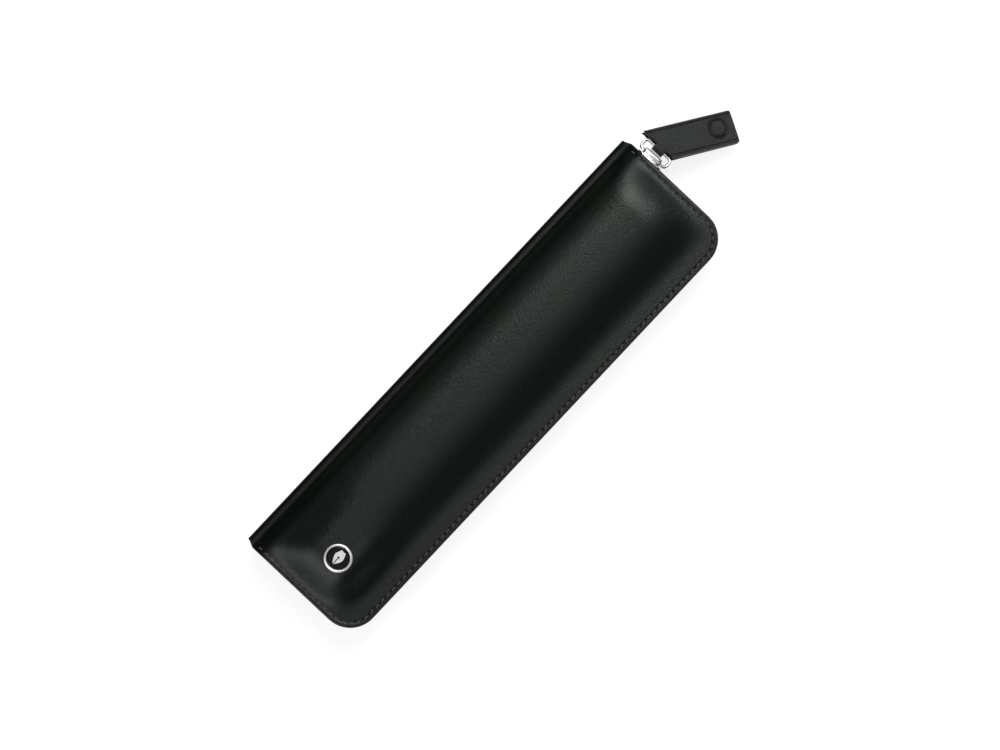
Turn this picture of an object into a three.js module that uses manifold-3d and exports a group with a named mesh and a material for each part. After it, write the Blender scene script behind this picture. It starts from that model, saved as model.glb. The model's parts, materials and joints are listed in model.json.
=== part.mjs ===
// Zip-around leather case for one fountain pen, lying on its back, closed.
// Units are millimetres. X runs across the case from the spine (-X) to the zip side (+X), Y runs
// along it towards the end where the zip slider parks, and +Z is up through the front cover.
// The origin is the middle of the flat crown that the case rests on.
import * as THREE from 'three';
import { mergeVertices } from 'three/addons/utils/BufferGeometryUtils.js';
import Module from 'manifold-3d';

const wasm = await Module();
wasm.setup();

// ---- Overall sizes ----
const caseLength = 168;
const caseWidth = 44.2;
const crownHalfHeight = 11;
const marginHalfHeight = 4.8;
const zipCornerRadius = 9.5;
const spineCornerRadius = 1.5;

// ---- Raised dome of each cover ----
const spineSideMargin = 5.3;
const zipSideMargin = 7.4;
const endMargin = 5.5;
const shoulderRun = 8;
const crownCornerRadius = 2;

// ---- Layers ----
const clearance = 0.3;
const leatherWall = 1.2;
const boardThickness = 0.6;
const liningWall = 0.5;
const tapeThickness = 0.5;
const spineEndSetback = 1;

// ---- Zip ----
const tapeInset = 0.6;
const tapeFlangeWidth = 4.6;
const tapeStartFromSpine = 3.5;
const teethInset = 0.7;
const toothReach = 1.7;
const toothPitch = 2.9;
const toothWidth = 1.45;
const toothBeadHeight = 0.5;
const teethHalfSlot = 0.6;
const stopLength = 1;

// ---- Stitching along the zip margin ----
const stitchInset = 1.6;
const threadWidth = 0.4;
const threadHeight = 0.4;
const stitchGrooveDepth = 0.5;

// ---- Slider and pull ----
const sliderFromSpine = 10;
const sliderLength = 9.8;
const shieldThickness = 0.9;
const innerShieldLength = 8.6;
const shieldCornerShare = 0.25;
const neckLength = 3;
const neckThickness = 0.6;
const bridgeLength = 6.8;
const bridgeWall = 0.7;
const linkWire = 1;
const linkBevelShare = 0.25;
const linkRunningGap = 0.25;
const linkWidth = 10.2;
const linkDepth = 3.4;
const linkCornerRadius = 1.2;
const linkDroop = THREE.MathUtils.degToRad(20);
const tabLeather = 0.7;
const tabWidth = 10.6;
const tabLength = 25.6;
const tabStart = 0.5;
const tabShift = -1.3;
const tongueWidth = 4;
const tabCornerRadius = 0.8;
const tabTurn = THREE.MathUtils.degToRad(30.4);
const tabCoreThickness = 0.8;
const tabCoreMargin = 1;
const tabCoreStart = 3.5;
const tabTableClearance = 0.15;

// ---- Badge on the front cover ----
const badgeFromDomeCentre = 2.95;
const badgeFromEnd = 16;
const badgeOuterRadius = 4.375;
const badgeInnerRadius = 3.525;
const badgeSink = 0.6;
const badgeStandOut = 0.6;
const inlayStandOut = 0.4;
const emblemLength = 5;
const emblemWidth = 3.2;
const emblemThickness = 0.4;
const postRadius = 0.8;
const washerRadius = 2.5;
const washerThickness = 0.4;

// ---- Pen loop ----
const loopWall = 0.7;
const loopLength = 16;
const loopFromMiddle = 22;
const loopFootPastCrown = 0.25;

// ---- Facet counts ----
const cornerSegments = 5;
const shoulderSegments = 3;
const wireSegments = 3;
const roundSegments = 24;

// ---- Heights and places worked out from the sizes above ----
const spineEdge = -caseWidth / 2;
const zipEdge = caseWidth / 2;
const sliderEnd = caseLength / 2;
const marginInner = marginHalfHeight - leatherWall;
const tapeTop = marginInner - clearance;
const tapeBottom = tapeTop - tapeThickness;
const liningTop = tapeBottom - clearance;
const liningBottom = liningTop - liningWall;
const crownInner = crownHalfHeight - leatherWall;
const boardTop = crownInner - clearance;
const boardBottom = boardTop - boardThickness;
const liningCrownOuter = boardBottom - clearance;
const liningCrownInner = liningCrownOuter - liningWall;
const teethTop = liningBottom - clearance;
const liningInset = tapeInset + tapeThickness + clearance;
const spineBoardFace = spineEdge + leatherWall + clearance;
const spineLiningFace = spineBoardFace + boardThickness + clearance;
const spineInnerFace = spineLiningFace + liningWall;
const liningSpineEdge = spineInnerFace + clearance;
const tapeStart = spineEdge + tapeStartFromSpine;
const stopStart = tapeStart + clearance;
const teethStart = stopStart + stopLength + clearance;
const domeCentreX = (spineEdge + spineSideMargin + zipEdge - zipSideMargin) / 2;
const crownWidth = caseWidth - spineSideMargin - zipSideMargin - 2 * shoulderRun;
const crownLength = caseLength - 2 * endMargin - 2 * shoulderRun;
const loopFootWidth = crownWidth + 2 * loopFootPastCrown;

const finishes = {
  outerLeather: { color: 0x1b1d1b, roughness: 0.5, metalness: 0 },
  lining: { color: 0x141514, roughness: 0.75, metalness: 0 },
  board: { color: 0x6f6757, roughness: 0.9, metalness: 0 },
  tape: { color: 0x101110, roughness: 0.95, metalness: 0 },
  teeth: { color: 0xb9bbbd, roughness: 0.3, metalness: 1 },
  thread: { color: 0x3b3d3a, roughness: 0.8, metalness: 0 },
  polished: { color: 0xdcdedf, roughness: 0.12, metalness: 1 },
  enamel: { color: 0x08080a, roughness: 0.15, metalness: 0 },
  tabLeather: { color: 0x3a3e3b, roughness: 0.6, metalness: 0 },
};

// ---- Solid helpers ----

function toSolid(geometry) {
  const bare = geometry.clone();
  bare.deleteAttribute('normal');
  bare.deleteAttribute('uv');
  const merged = mergeVertices(bare, 1e-4);
  return new wasm.Manifold(new wasm.Mesh({
    numProp: 3,
    vertProperties: new Float32Array(merged.attributes.position.array),
    triVerts: new Uint32Array(merged.index.array),
  }));
}

function toGeometry(solid) {
  const mesh = solid.getMesh();
  const geometry = new THREE.BufferGeometry();
  geometry.setAttribute('position', new THREE.BufferAttribute(new Float32Array(mesh.vertProperties), 3));
  geometry.setIndex(new THREE.BufferAttribute(new Uint32Array(mesh.triVerts), 1));
  return geometry;
}

// Turns a shape of the front half into its twin on the back half.
function mirrored(geometry) {
  const twin = mergeVertices(geometry.clone().scale(1, 1, -1));
  const index = twin.index.array;
  for (let i = 0; i < index.length; i += 3) {
    [index[i], index[i + 1]] = [index[i + 1], index[i]];
  }
  return twin;
}

function box(x0, x1, y0, y1, z0, z1) {
  const geometry = new THREE.BoxGeometry(x1 - x0, y1 - y0, z1 - z0);
  return geometry.translate((x0 + x1) / 2, (y0 + y1) / 2, (z0 + z1) / 2);
}

function plate(shape, z0, z1) {
  const options = { depth: z1 - z0, bevelEnabled: false, curveSegments: cornerSegments };
  return new THREE.ExtrudeGeometry(shape, options).translate(0, 0, z0);
}

function disc(radius, z0, z1, x, y) {
  const geometry = new THREE.CylinderGeometry(radius, radius, z1 - z0, roundSegments);
  return geometry.rotateX(Math.PI / 2).translate(x, y, (z0 + z1) / 2);
}

// Everything from a height upwards, as a block that covers the whole case.
function above(height) {
  return toSolid(box(-caseWidth, caseWidth, -caseLength, caseLength, height, 2 * crownHalfHeight));
}

// ---- Outlines ----

// Rectangle from x0 to x1, centred on Y, with one corner radius on each side.
function roundedOutline(x0, x1, length, leftRadius, rightRadius) {
  const half = length / 2;
  const shape = new THREE.Shape();
  shape.moveTo(x0 + leftRadius, -half);
  shape.lineTo(x1 - rightRadius, -half);
  shape.absarc(x1 - rightRadius, -half + rightRadius, rightRadius, -Math.PI / 2, 0, false);
  shape.lineTo(x1, half - rightRadius);
  shape.absarc(x1 - rightRadius, half - rightRadius, rightRadius, 0, Math.PI / 2, false);
  shape.lineTo(x0 + leftRadius, half);
  shape.absarc(x0 + leftRadius, half - leftRadius, leftRadius, Math.PI / 2, Math.PI, false);
  shape.lineTo(x0, -half + leftRadius);
  shape.absarc(x0 + leftRadius, -half + leftRadius, leftRadius, Math.PI, 1.5 * Math.PI, false);
  return shape;
}

function caseOutline() {
  return roundedOutline(spineEdge, zipEdge, caseLength, spineCornerRadius, zipCornerRadius);
}

function crownOutline() {
  const half = crownWidth / 2;
  const radius = crownCornerRadius;
  return roundedOutline(domeCentreX - half, domeCentreX + half, crownLength, radius, radius);
}

// Band that follows the three zipped sides between two insets from the case's edge.
function zipBand(outerInset, innerInset, startX) {
  const centreX = zipEdge - zipCornerRadius;
  const centreY = sliderEnd - zipCornerRadius;
  const outer = zipCornerRadius - outerInset;
  const inner = zipCornerRadius - innerInset;
  const shape = new THREE.Shape();
  shape.moveTo(startX, -centreY - outer);
  shape.lineTo(centreX, -centreY - outer);
  shape.absarc(centreX, -centreY, outer, -Math.PI / 2, 0, false);
  shape.lineTo(centreX + outer, centreY);
  shape.absarc(centreX, centreY, outer, 0, Math.PI / 2, false);
  shape.lineTo(startX, centreY + outer);
  shape.lineTo(startX, centreY + inner);
  shape.lineTo(centreX, centreY + inner);
  shape.absarc(centreX, centreY, inner, Math.PI / 2, 0, true);
  shape.lineTo(centreX + inner, -centreY);
  shape.absarc(centreX, -centreY, inner, 0, -Math.PI / 2, true);
  shape.lineTo(startX, -centreY - inner);
  return shape;
}

// Crowned block around the middle plane: the dome, drawn in by the given walls.
function dome(sideWall, topWall) {
  return toSolid(new THREE.ExtrudeGeometry(crownOutline(), {
    depth: 2 * marginHalfHeight,
    bevelEnabled: true,
    bevelSize: shoulderRun - sideWall,
    bevelThickness: crownHalfHeight - marginHalfHeight - topWall,
    bevelSegments: shoulderSegments,
    curveSegments: cornerSegments,
  }).translate(0, 0, -marginHalfHeight));
}

// ---- Covers ----

function coverShell() {
  const groove = plate(zipBand(
    stitchInset - threadWidth / 2 - clearance,
    stitchInset + threadWidth / 2 + clearance,
    tapeStart,
  ), marginHalfHeight - stitchGrooveDepth, marginHalfHeight + clearance);
  return toSolid(plate(caseOutline(), marginInner, marginHalfHeight))
    .add(dome(0, 0).intersect(above(marginInner)))
    .subtract(dome(leatherWall, leatherWall))
    .subtract(toSolid(groove));
}

const badgeX = domeCentreX + badgeFromDomeCentre;
const badgeY = -sliderEnd + badgeFromEnd;
const badgeSeat = crownHalfHeight - badgeSink;

function frontCover() {
  const pocket = disc(badgeOuterRadius + clearance, badgeSeat, 2 * crownHalfHeight, badgeX, badgeY);
  const hole = disc(postRadius + clearance, marginHalfHeight, crownHalfHeight, badgeX, badgeY);
  return toGeometry(coverShell().subtract(toSolid(pocket)).subtract(toSolid(hole)));
}

function backCover() {
  return mirrored(toGeometry(coverShell()));
}

function board() {
  return plate(crownOutline(), boardBottom, boardTop);
}

// The front board has a hole that the badge's washer sits in.
function frontBoard() {
  const hole = disc(washerRadius + clearance, marginHalfHeight, crownHalfHeight, badgeX, badgeY);
  return toGeometry(toSolid(board()).subtract(toSolid(hole)));
}

function liningShell() {
  const outline = roundedOutline(
    liningSpineEdge,
    zipEdge - liningInset,
    caseLength - 2 * liningInset,
    spineCornerRadius,
    zipCornerRadius - liningInset,
  );
  const outerSide = leatherWall + clearance;
  const outerTop = crownHalfHeight - liningCrownOuter;
  return toGeometry(toSolid(plate(outline, liningBottom, liningTop))
    .add(dome(outerSide, outerTop).intersect(above(liningBottom)))
    .subtract(dome(outerSide + liningWall, outerTop + liningWall)));
}

function stitchThread() {
  const band = zipBand(
    stitchInset - threadWidth / 2,
    stitchInset + threadWidth / 2,
    tapeStart + clearance,
  );
  const seat = marginHalfHeight - stitchGrooveDepth + clearance;
  return plate(band, seat, seat + threadHeight);
}

// ---- Spine ----

function spineLeaf(face, thickness, halfHeight, setback) {
  const half = sliderEnd - setback;
  return box(face, face + thickness, -half, half, -halfHeight, halfHeight);
}

// ---- Zip ----

function zipTape() {
  const flange = plate(zipBand(tapeInset, tapeInset + tapeFlangeWidth, tapeStart), tapeBottom, tapeTop);
  const skirt = plate(zipBand(tapeInset, tapeInset + tapeThickness, tapeStart), liningBottom, tapeTop);
  return toGeometry(toSolid(flange).add(toSolid(skirt)));
}

// Straight comb of teeth along +X from 0, its bead on top and its reach along -Y.
function toothComb(length) {
  const count = Math.floor(length / toothPitch);
  const first = (length - (count - 1) * toothPitch - toothWidth) / 2;
  const beadBottom = teethTop - toothBeadHeight;
  const shape = new THREE.Shape();
  shape.moveTo(0, teethTop);
  shape.lineTo(0, beadBottom);
  for (let i = 0; i < count; i += 1) {
    const x = first + i * toothPitch;
    shape.lineTo(x, beadBottom);
    shape.lineTo(x, teethHalfSlot);
    shape.lineTo(x + toothWidth, teethHalfSlot);
    shape.lineTo(x + toothWidth, beadBottom);
  }
  shape.lineTo(length, beadBottom);
  shape.lineTo(length, teethTop);
  return new THREE.ExtrudeGeometry(shape, { depth: toothReach, bevelEnabled: false }).rotateX(Math.PI / 2);
}

// Teeth fanned round one zip corner, starting at the given angle.
function cornerTeeth(centreY, startAngle) {
  const radius = zipCornerRadius - teethInset - toothReach / 2;
  const count = Math.floor(radius * Math.PI / 2 / toothPitch);
  const teeth = [];
  for (let i = 0; i < count; i += 1) {
    const angle = startAngle + (i + 0.5) / count * Math.PI / 2;
    teeth.push(box(
      radius - toothReach / 2,
      radius + toothReach / 2,
      -toothWidth / 2,
      toothWidth / 2,
      teethHalfSlot,
      teethTop,
    ).rotateZ(angle).translate(zipEdge - zipCornerRadius, centreY, 0));
  }
  return teeth;
}

function zipTeeth() {
  const cornerX = zipEdge - zipCornerRadius;
  const cornerY = sliderEnd - zipCornerRadius;
  const outerY = sliderEnd - teethInset;
  const pieces = [
    toothComb(cornerX - teethStart).translate(teethStart, outerY, 0),
    toothComb(cornerX - teethStart).translate(teethStart, -outerY + toothReach, 0),
    toothComb(2 * cornerY).rotateZ(-Math.PI / 2).translate(zipEdge - teethInset, cornerY, 0),
    ...cornerTeeth(cornerY, 0),
    ...cornerTeeth(-cornerY, -Math.PI / 2),
  ];
  const bead = plate(
    zipBand(teethInset, teethInset + toothReach, teethStart),
    teethTop - toothBeadHeight,
    teethTop,
  );
  return toGeometry(pieces.reduce((row, piece) => row.add(toSolid(piece)), toSolid(bead)));
}

function zipStop(endY, z0, z1) {
  const outer = endY - Math.sign(endY) * teethInset;
  const inner = outer - Math.sign(endY) * toothReach;
  return box(stopStart, stopStart + stopLength, Math.min(outer, inner), Math.max(outer, inner), z0, z1);
}

// ---- Slider ----

const sliderX = spineEdge + sliderFromSpine;
const shieldFace = sliderEnd - tapeInset + clearance;
const sliderWidth = 2 * (marginInner - clearance);
const shieldBack = shieldFace + shieldThickness;
const innerShieldFace = sliderEnd - teethInset - toothReach - clearance;
const linkPinY = shieldBack + clearance + linkRunningGap + linkWire / 2;
const bridgeBore = linkWire / 2 + linkRunningGap;
const bridgeRadius = bridgeBore + bridgeWall;
const linkBarY = linkPinY + linkDepth * Math.cos(linkDroop);
const linkBarZ = -linkDepth * Math.sin(linkDroop);

// Shield plate in the XZ plane with rounded corners, between two Y faces.
function shield(length, height, y0, y1) {
  const corner = height * shieldCornerShare;
  const shape = roundedOutline(-length / 2, length / 2, height, corner, corner);
  return plate(shape, -y1, -y0).rotateX(Math.PI / 2).translate(sliderX, 0, 0);
}

// Two shields joined by the neck that runs between the two rows of teeth.
function sliderBody() {
  const innerHeight = 2 * teethTop;
  const neck = box(
    sliderX - neckLength / 2,
    sliderX + neckLength / 2,
    innerShieldFace - shieldThickness / 2,
    shieldFace + shieldThickness / 2,
    -neckThickness / 2,
    neckThickness / 2,
  );
  return toGeometry(toSolid(shield(sliderLength, sliderWidth, shieldFace, shieldBack))
    .add(toSolid(shield(innerShieldLength, innerHeight, innerShieldFace - shieldThickness, innerShieldFace)))
    .add(toSolid(neck)));
}

// Arch section in the YZ plane: half a tube on two straight legs.
function archSection(radius, legLength) {
  const shape = new THREE.Shape();
  shape.moveTo(-radius, -legLength);
  shape.lineTo(radius, -legLength);
  shape.lineTo(radius, 0);
  shape.absarc(0, 0, radius, 0, Math.PI, false);
  return shape;
}

// Hood over the link's pin, with a tunnel along X.
function sliderBridge() {
  const legLength = linkPinY - shieldBack - clearance;
  const options = { bevelEnabled: false, curveSegments: cornerSegments };
  const hood = new THREE.ExtrudeGeometry(archSection(bridgeRadius, legLength), {
    ...options,
    depth: bridgeLength,
  }).translate(0, 0, -bridgeLength / 2);
  const tunnel = new THREE.ExtrudeGeometry(archSection(bridgeBore, legLength + clearance), {
    ...options,
    depth: 2 * bridgeLength,
  }).translate(0, 0, -bridgeLength);
  return toGeometry(toSolid(hood).subtract(toSolid(tunnel))).rotateY(Math.PI / 2)
    .translate(sliderX, linkPinY, 0);
}

// ---- Pull ----

// Flat D-shaped wire loop: its near side is the pin, its far side carries the tab.
function pullLink() {
  const outline = (grow, radius) => roundedOutline(
    -linkWidth / 2 - grow,
    linkWidth / 2 + grow,
    linkDepth + 2 * grow,
    radius,
    radius,
  );
  const bevel = linkWire * linkBevelShare;
  const shape = outline(linkWire / 2 - bevel, linkCornerRadius);
  shape.holes.push(outline(-linkWire / 2 + bevel, linkCornerRadius));
  return new THREE.ExtrudeGeometry(shape, {
    depth: linkWire - 2 * bevel,
    bevelEnabled: true,
    bevelSize: bevel,
    bevelThickness: bevel,
    bevelSegments: 1,
    curveSegments: wireSegments,
  }).translate(0, linkDepth / 2, -linkWire / 2 + bevel).rotateX(-linkDroop)
    .translate(sliderX, linkPinY, 0);
}

const loopRadius = linkWire / 2 + clearance;
const tabHalf = loopRadius + tabLeather;

// The tab slopes from the link's far bar until its far corner is just above the resting surface.
function tabSlope() {
  const far = tabLength * Math.cos(tabTurn) + (tabWidth / 2 - tabShift) * Math.sin(tabTurn);
  const drop = crownHalfHeight + linkBarZ - tabTableClearance;
  return Math.asin(drop / Math.hypot(far, tabHalf)) - Math.atan2(tabHalf, far);
}

// Strip in the tab's own plane, drawn in by a margin, from a start to the far end.
function tabStrip(margin, start, halfThickness) {
  const half = tabWidth / 2 - margin;
  const end = tabLength - margin;
  const radius = tabCornerRadius;
  const shape = new THREE.Shape();
  shape.moveTo(-half, start);
  shape.lineTo(half, start);
  shape.lineTo(half, end - radius);
  shape.absarc(half - radius, end - radius, radius, 0, Math.PI / 2, false);
  shape.lineTo(-half + radius, end);
  shape.absarc(-half + radius, end - radius, radius, Math.PI / 2, Math.PI, false);
  return plate(shape, -halfThickness, halfThickness).translate(tabShift, 0, 0).rotateZ(-tabTurn);
}

function laidTab(geometry) {
  return geometry.rotateX(-tabSlope()).translate(sliderX, linkBarY, linkBarZ);
}

// Arch round the link's far bar, its legs running along +Y.
function barArch(radius, legLength, width) {
  return new THREE.ExtrudeGeometry(archSection(radius, legLength), {
    depth: width,
    bevelEnabled: false,
    curveSegments: cornerSegments,
  }).translate(0, 0, -width / 2).rotateY(Math.PI / 2).rotateX(Math.PI);
}

// One strip of leather folded round the link's far bar, its two leaves lying parallel.
function pullTab() {
  const nearCut = box(-tabLength, tabLength, -tabLength, tabStart, -tabLength, tabLength);
  const leaves = toSolid(tabStrip(0, -tabWidth, tabHalf)).subtract(toSolid(nearCut));
  const tongue = toSolid(barArch(tabHalf, tabStart + tongueWidth, tongueWidth));
  const slot = toSolid(barArch(loopRadius, 2 * tabLength, 2 * tabLength));
  return laidTab(toGeometry(leaves.add(tongue).subtract(slot)));
}

function pullTabCore() {
  return laidTab(tabStrip(tabCoreMargin, tabCoreStart, tabCoreThickness / 2));
}

// ---- Badge ----

const bezelBottom = badgeSeat + clearance;
const bezelTop = crownHalfHeight + badgeStandOut;
const inlayTop = crownHalfHeight + inlayStandOut;

function badgeBezel() {
  const ring = toSolid(disc(badgeOuterRadius, bezelBottom, bezelTop, badgeX, badgeY));
  return toGeometry(ring.subtract(toSolid(disc(badgeInnerRadius, 0, 2 * crownHalfHeight, badgeX, badgeY))));
}

// Plain pen-nib outline, its point towards -Y.
function emblemOutline(grow) {
  const half = emblemWidth / 2 + grow;
  const top = emblemLength / 2 + grow;
  const shape = new THREE.Shape();
  shape.moveTo(0, -top);
  shape.quadraticCurveTo(half, -top / 4, half, top / 4);
  shape.lineTo(half / 2, top);
  shape.lineTo(-half / 2, top);
  shape.lineTo(-half, top / 4);
  shape.quadraticCurveTo(-half, -top / 4, 0, -top);
  return shape;
}

function badgeInlay() {
  const body = toSolid(disc(badgeInnerRadius - clearance, bezelBottom, inlayTop, badgeX, badgeY));
  const pocket = plate(emblemOutline(clearance), inlayTop - emblemThickness, 2 * crownHalfHeight)
    .translate(badgeX, badgeY, 0);
  return toGeometry(body.subtract(toSolid(pocket)));
}

function badgeEmblem() {
  const bottom = inlayTop - emblemThickness + clearance;
  return plate(emblemOutline(0), bottom, bottom + emblemThickness).translate(badgeX, badgeY, 0);
}

function badgePost() {
  return disc(postRadius, liningCrownOuter + clearance, badgeSeat, badgeX, badgeY);
}

function badgeWasher() {
  const top = crownInner - clearance;
  const body = toSolid(disc(washerRadius, top - washerThickness, top, badgeX, badgeY));
  const hole = disc(postRadius + clearance, 0, 2 * crownHalfHeight, badgeX, badgeY);
  return toGeometry(body.subtract(toSolid(hole)));
}

// ---- Pen loop ----

// Leather band bent to a ring over a flat foot, open along Y.
function penLoop() {
  const radius = liningCrownInner - clearance;
  const foot = new THREE.Shape();
  foot.moveTo(-loopFootWidth / 2, -radius);
  foot.lineTo(loopFootWidth / 2, -radius);
  foot.lineTo(loopFootWidth / 2, -radius + loopWall);
  foot.lineTo(-loopFootWidth / 2, -radius + loopWall);
  const tube = (r, length) => new THREE.CylinderGeometry(r, r, length, roundSegments).rotateX(Math.PI / 2);
  const solid = toSolid(tube(radius, loopLength))
    .add(toSolid(plate(foot, -loopLength / 2, loopLength / 2)))
    .subtract(toSolid(tube(radius - loopWall, 2 * loopLength)));
  return toGeometry(solid).rotateX(Math.PI / 2).translate(domeCentreX, loopFromMiddle, 0);
}

// ---- Assembly ----

const pen_case = new THREE.Group();
pen_case.position.z = crownHalfHeight;

function addPart(name, geometry, finish) {
  const mesh = new THREE.Mesh(geometry, new THREE.MeshStandardMaterial(finish));
  mesh.name = name;
  pen_case.add(mesh);
}

addPart('back_cover', backCover(), finishes.outerLeather);
addPart('back_board', mirrored(board()), finishes.board);
addPart('back_lining', mirrored(liningShell()), finishes.lining);
addPart('back_stitching', mirrored(stitchThread()), finishes.thread);
addPart('back_zip_tape', mirrored(zipTape()), finishes.tape);
addPart('back_zip_teeth', mirrored(zipTeeth()), finishes.teeth);
addPart('back_zip_top_stop', zipStop(sliderEnd, -teethTop, -teethHalfSlot), finishes.teeth);
addPart('zip_bottom_stop', zipStop(-sliderEnd, -teethTop, teethTop), finishes.teeth);
addPart('pen_loop', penLoop(), finishes.lining);

const spineHalf = tapeTop;
const spineInnerHalf = tapeTop - clearance;
const innerSetback = spineEndSetback + clearance;
addPart('spine_cover', spineLeaf(spineEdge, leatherWall, spineHalf, spineEndSetback), finishes.outerLeather);
addPart('spine_board', spineLeaf(spineBoardFace, boardThickness, spineInnerHalf, innerSetback), finishes.board);
addPart('spine_lining', spineLeaf(spineLiningFace, liningWall, spineInnerHalf, innerSetback), finishes.lining);

addPart('front_cover', frontCover(), finishes.outerLeather);
addPart('front_board', frontBoard(), finishes.board);
addPart('front_lining', liningShell(), finishes.lining);
addPart('front_stitching', stitchThread(), finishes.thread);
addPart('front_zip_tape', zipTape(), finishes.tape);
addPart('front_zip_teeth', zipTeeth(), finishes.teeth);
addPart('front_zip_top_stop', zipStop(sliderEnd, teethHalfSlot, teethTop), finishes.teeth);
addPart('badge_bezel', badgeBezel(), finishes.polished);
addPart('badge_inlay', badgeInlay(), finishes.enamel);
addPart('badge_emblem', badgeEmblem(), finishes.polished);
addPart('badge_post', badgePost(), finishes.teeth);
addPart('badge_washer', badgeWasher(), finishes.teeth);

addPart('slider_body', sliderBody(), finishes.polished);
addPart('slider_bridge', sliderBridge(), finishes.polished);
addPart('pull_link', pullLink(), finishes.polished);
addPart('pull_tab', pullTab(), finishes.tabLeather);
addPart('pull_tab_core', pullTabCore(), finishes.board);

export default pen_case;
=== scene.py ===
"""Zip-around leather case for one fountain pen: the visual model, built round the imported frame."""
import json
import logging
import math
from dataclasses import dataclass
from enum import Enum

import bmesh
import bpy
import numpy as np
from mathutils import Matrix, Vector


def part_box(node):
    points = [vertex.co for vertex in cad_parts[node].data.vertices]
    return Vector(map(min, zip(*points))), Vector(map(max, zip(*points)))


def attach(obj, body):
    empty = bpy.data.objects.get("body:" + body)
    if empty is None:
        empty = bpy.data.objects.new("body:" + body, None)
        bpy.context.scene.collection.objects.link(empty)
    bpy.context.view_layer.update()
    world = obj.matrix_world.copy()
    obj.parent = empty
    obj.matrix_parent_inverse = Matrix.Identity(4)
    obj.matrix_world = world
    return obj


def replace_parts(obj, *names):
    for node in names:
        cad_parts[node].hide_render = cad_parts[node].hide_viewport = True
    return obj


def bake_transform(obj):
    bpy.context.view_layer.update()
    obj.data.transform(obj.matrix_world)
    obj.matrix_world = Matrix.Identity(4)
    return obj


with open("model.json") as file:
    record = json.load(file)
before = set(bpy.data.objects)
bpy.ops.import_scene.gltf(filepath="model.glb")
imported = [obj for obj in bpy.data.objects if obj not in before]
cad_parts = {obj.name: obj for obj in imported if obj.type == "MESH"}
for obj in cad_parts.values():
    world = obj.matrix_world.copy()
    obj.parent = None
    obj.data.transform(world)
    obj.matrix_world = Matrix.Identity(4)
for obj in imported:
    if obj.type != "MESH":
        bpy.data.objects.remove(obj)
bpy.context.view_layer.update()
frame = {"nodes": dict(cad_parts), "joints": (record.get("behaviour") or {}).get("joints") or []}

MM = 0.001
SEAM_INSET = 1.6
STITCH_PITCH = 2.4
LOG = logging.getLogger("pen_case")

Points = np.ndarray
Faces = list[tuple[int, ...]]


class Side(Enum):
    """The two halves of the case: which way their outside faces along Z."""

    FRONT = 1
    BACK = -1

    @property
    def label(self) -> str:
        """The half's name as the frame's bodies and nodes use it."""
        return self.name.lower()


# ---- Colour and node helpers ----


def linear(hex_colour: str) -> tuple[float, float, float, float]:
    """Turns an sRGB hex colour into a linear one.

    Args:
        hex_colour: six hex digits, with or without a leading #.

    Returns:
        Red, green, blue and alpha in linear light.
    """
    digits = hex_colour.lstrip("#")
    channels = [int(digits[i:i + 2], 16) / 255 for i in (0, 2, 4)]
    curve = [c / 12.92 if c <= 0.04045 else ((c + 0.055) / 1.055) ** 2.4 for c in channels]
    return curve[0], curve[1], curve[2], 1.0


def feed(tree: bpy.types.NodeTree, node: bpy.types.Node, inputs: dict) -> None:
    """Sets or links the inputs of a node.

    Args:
        tree: the tree that the node is in.
        node: the node.
        inputs: socket name or index to a value, or to a socket that is linked in.
    """
    for key, value in inputs.items():
        if isinstance(value, bpy.types.NodeSocket):
            tree.links.new(value, node.inputs[key])
        else:
            node.inputs[key].default_value = value


def add_node(tree: bpy.types.NodeTree, kind: str, inputs: dict | None = None, **settings) -> bpy.types.Node:
    """Adds one node with its settings, values and links.

    Args:
        tree: the tree that the node joins.
        kind: the node's type name.
        inputs: socket name or index to a value, or to a socket that is linked in.
        settings: properties of the node itself.

    Returns:
        The new node.
    """
    made = tree.nodes.new(kind)
    for name, value in settings.items():
        setattr(made, name, value)
    feed(tree, made, inputs or {})
    return made


def new_material(name: str) -> tuple[bpy.types.Material, bpy.types.NodeTree, bpy.types.Node]:
    """Makes an empty node material with its surface shader.

    Args:
        name: the material's name.

    Returns:
        The material, its tree and its Principled shader.
    """
    material = bpy.data.materials.new(name)
    material.use_nodes = True
    tree = material.node_tree
    tree.nodes.clear()
    shader = add_node(tree, "ShaderNodeBsdfPrincipled")
    add_node(tree, "ShaderNodeOutputMaterial", {"Surface": shader.outputs[0]})
    return material, tree, shader


def per_mm(size: float) -> float:
    """The texture scale, in cycles per metre, of a pattern that repeats every size millimetres."""
    return 1 / (size * MM)


# ---- Finishes ----


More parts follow.
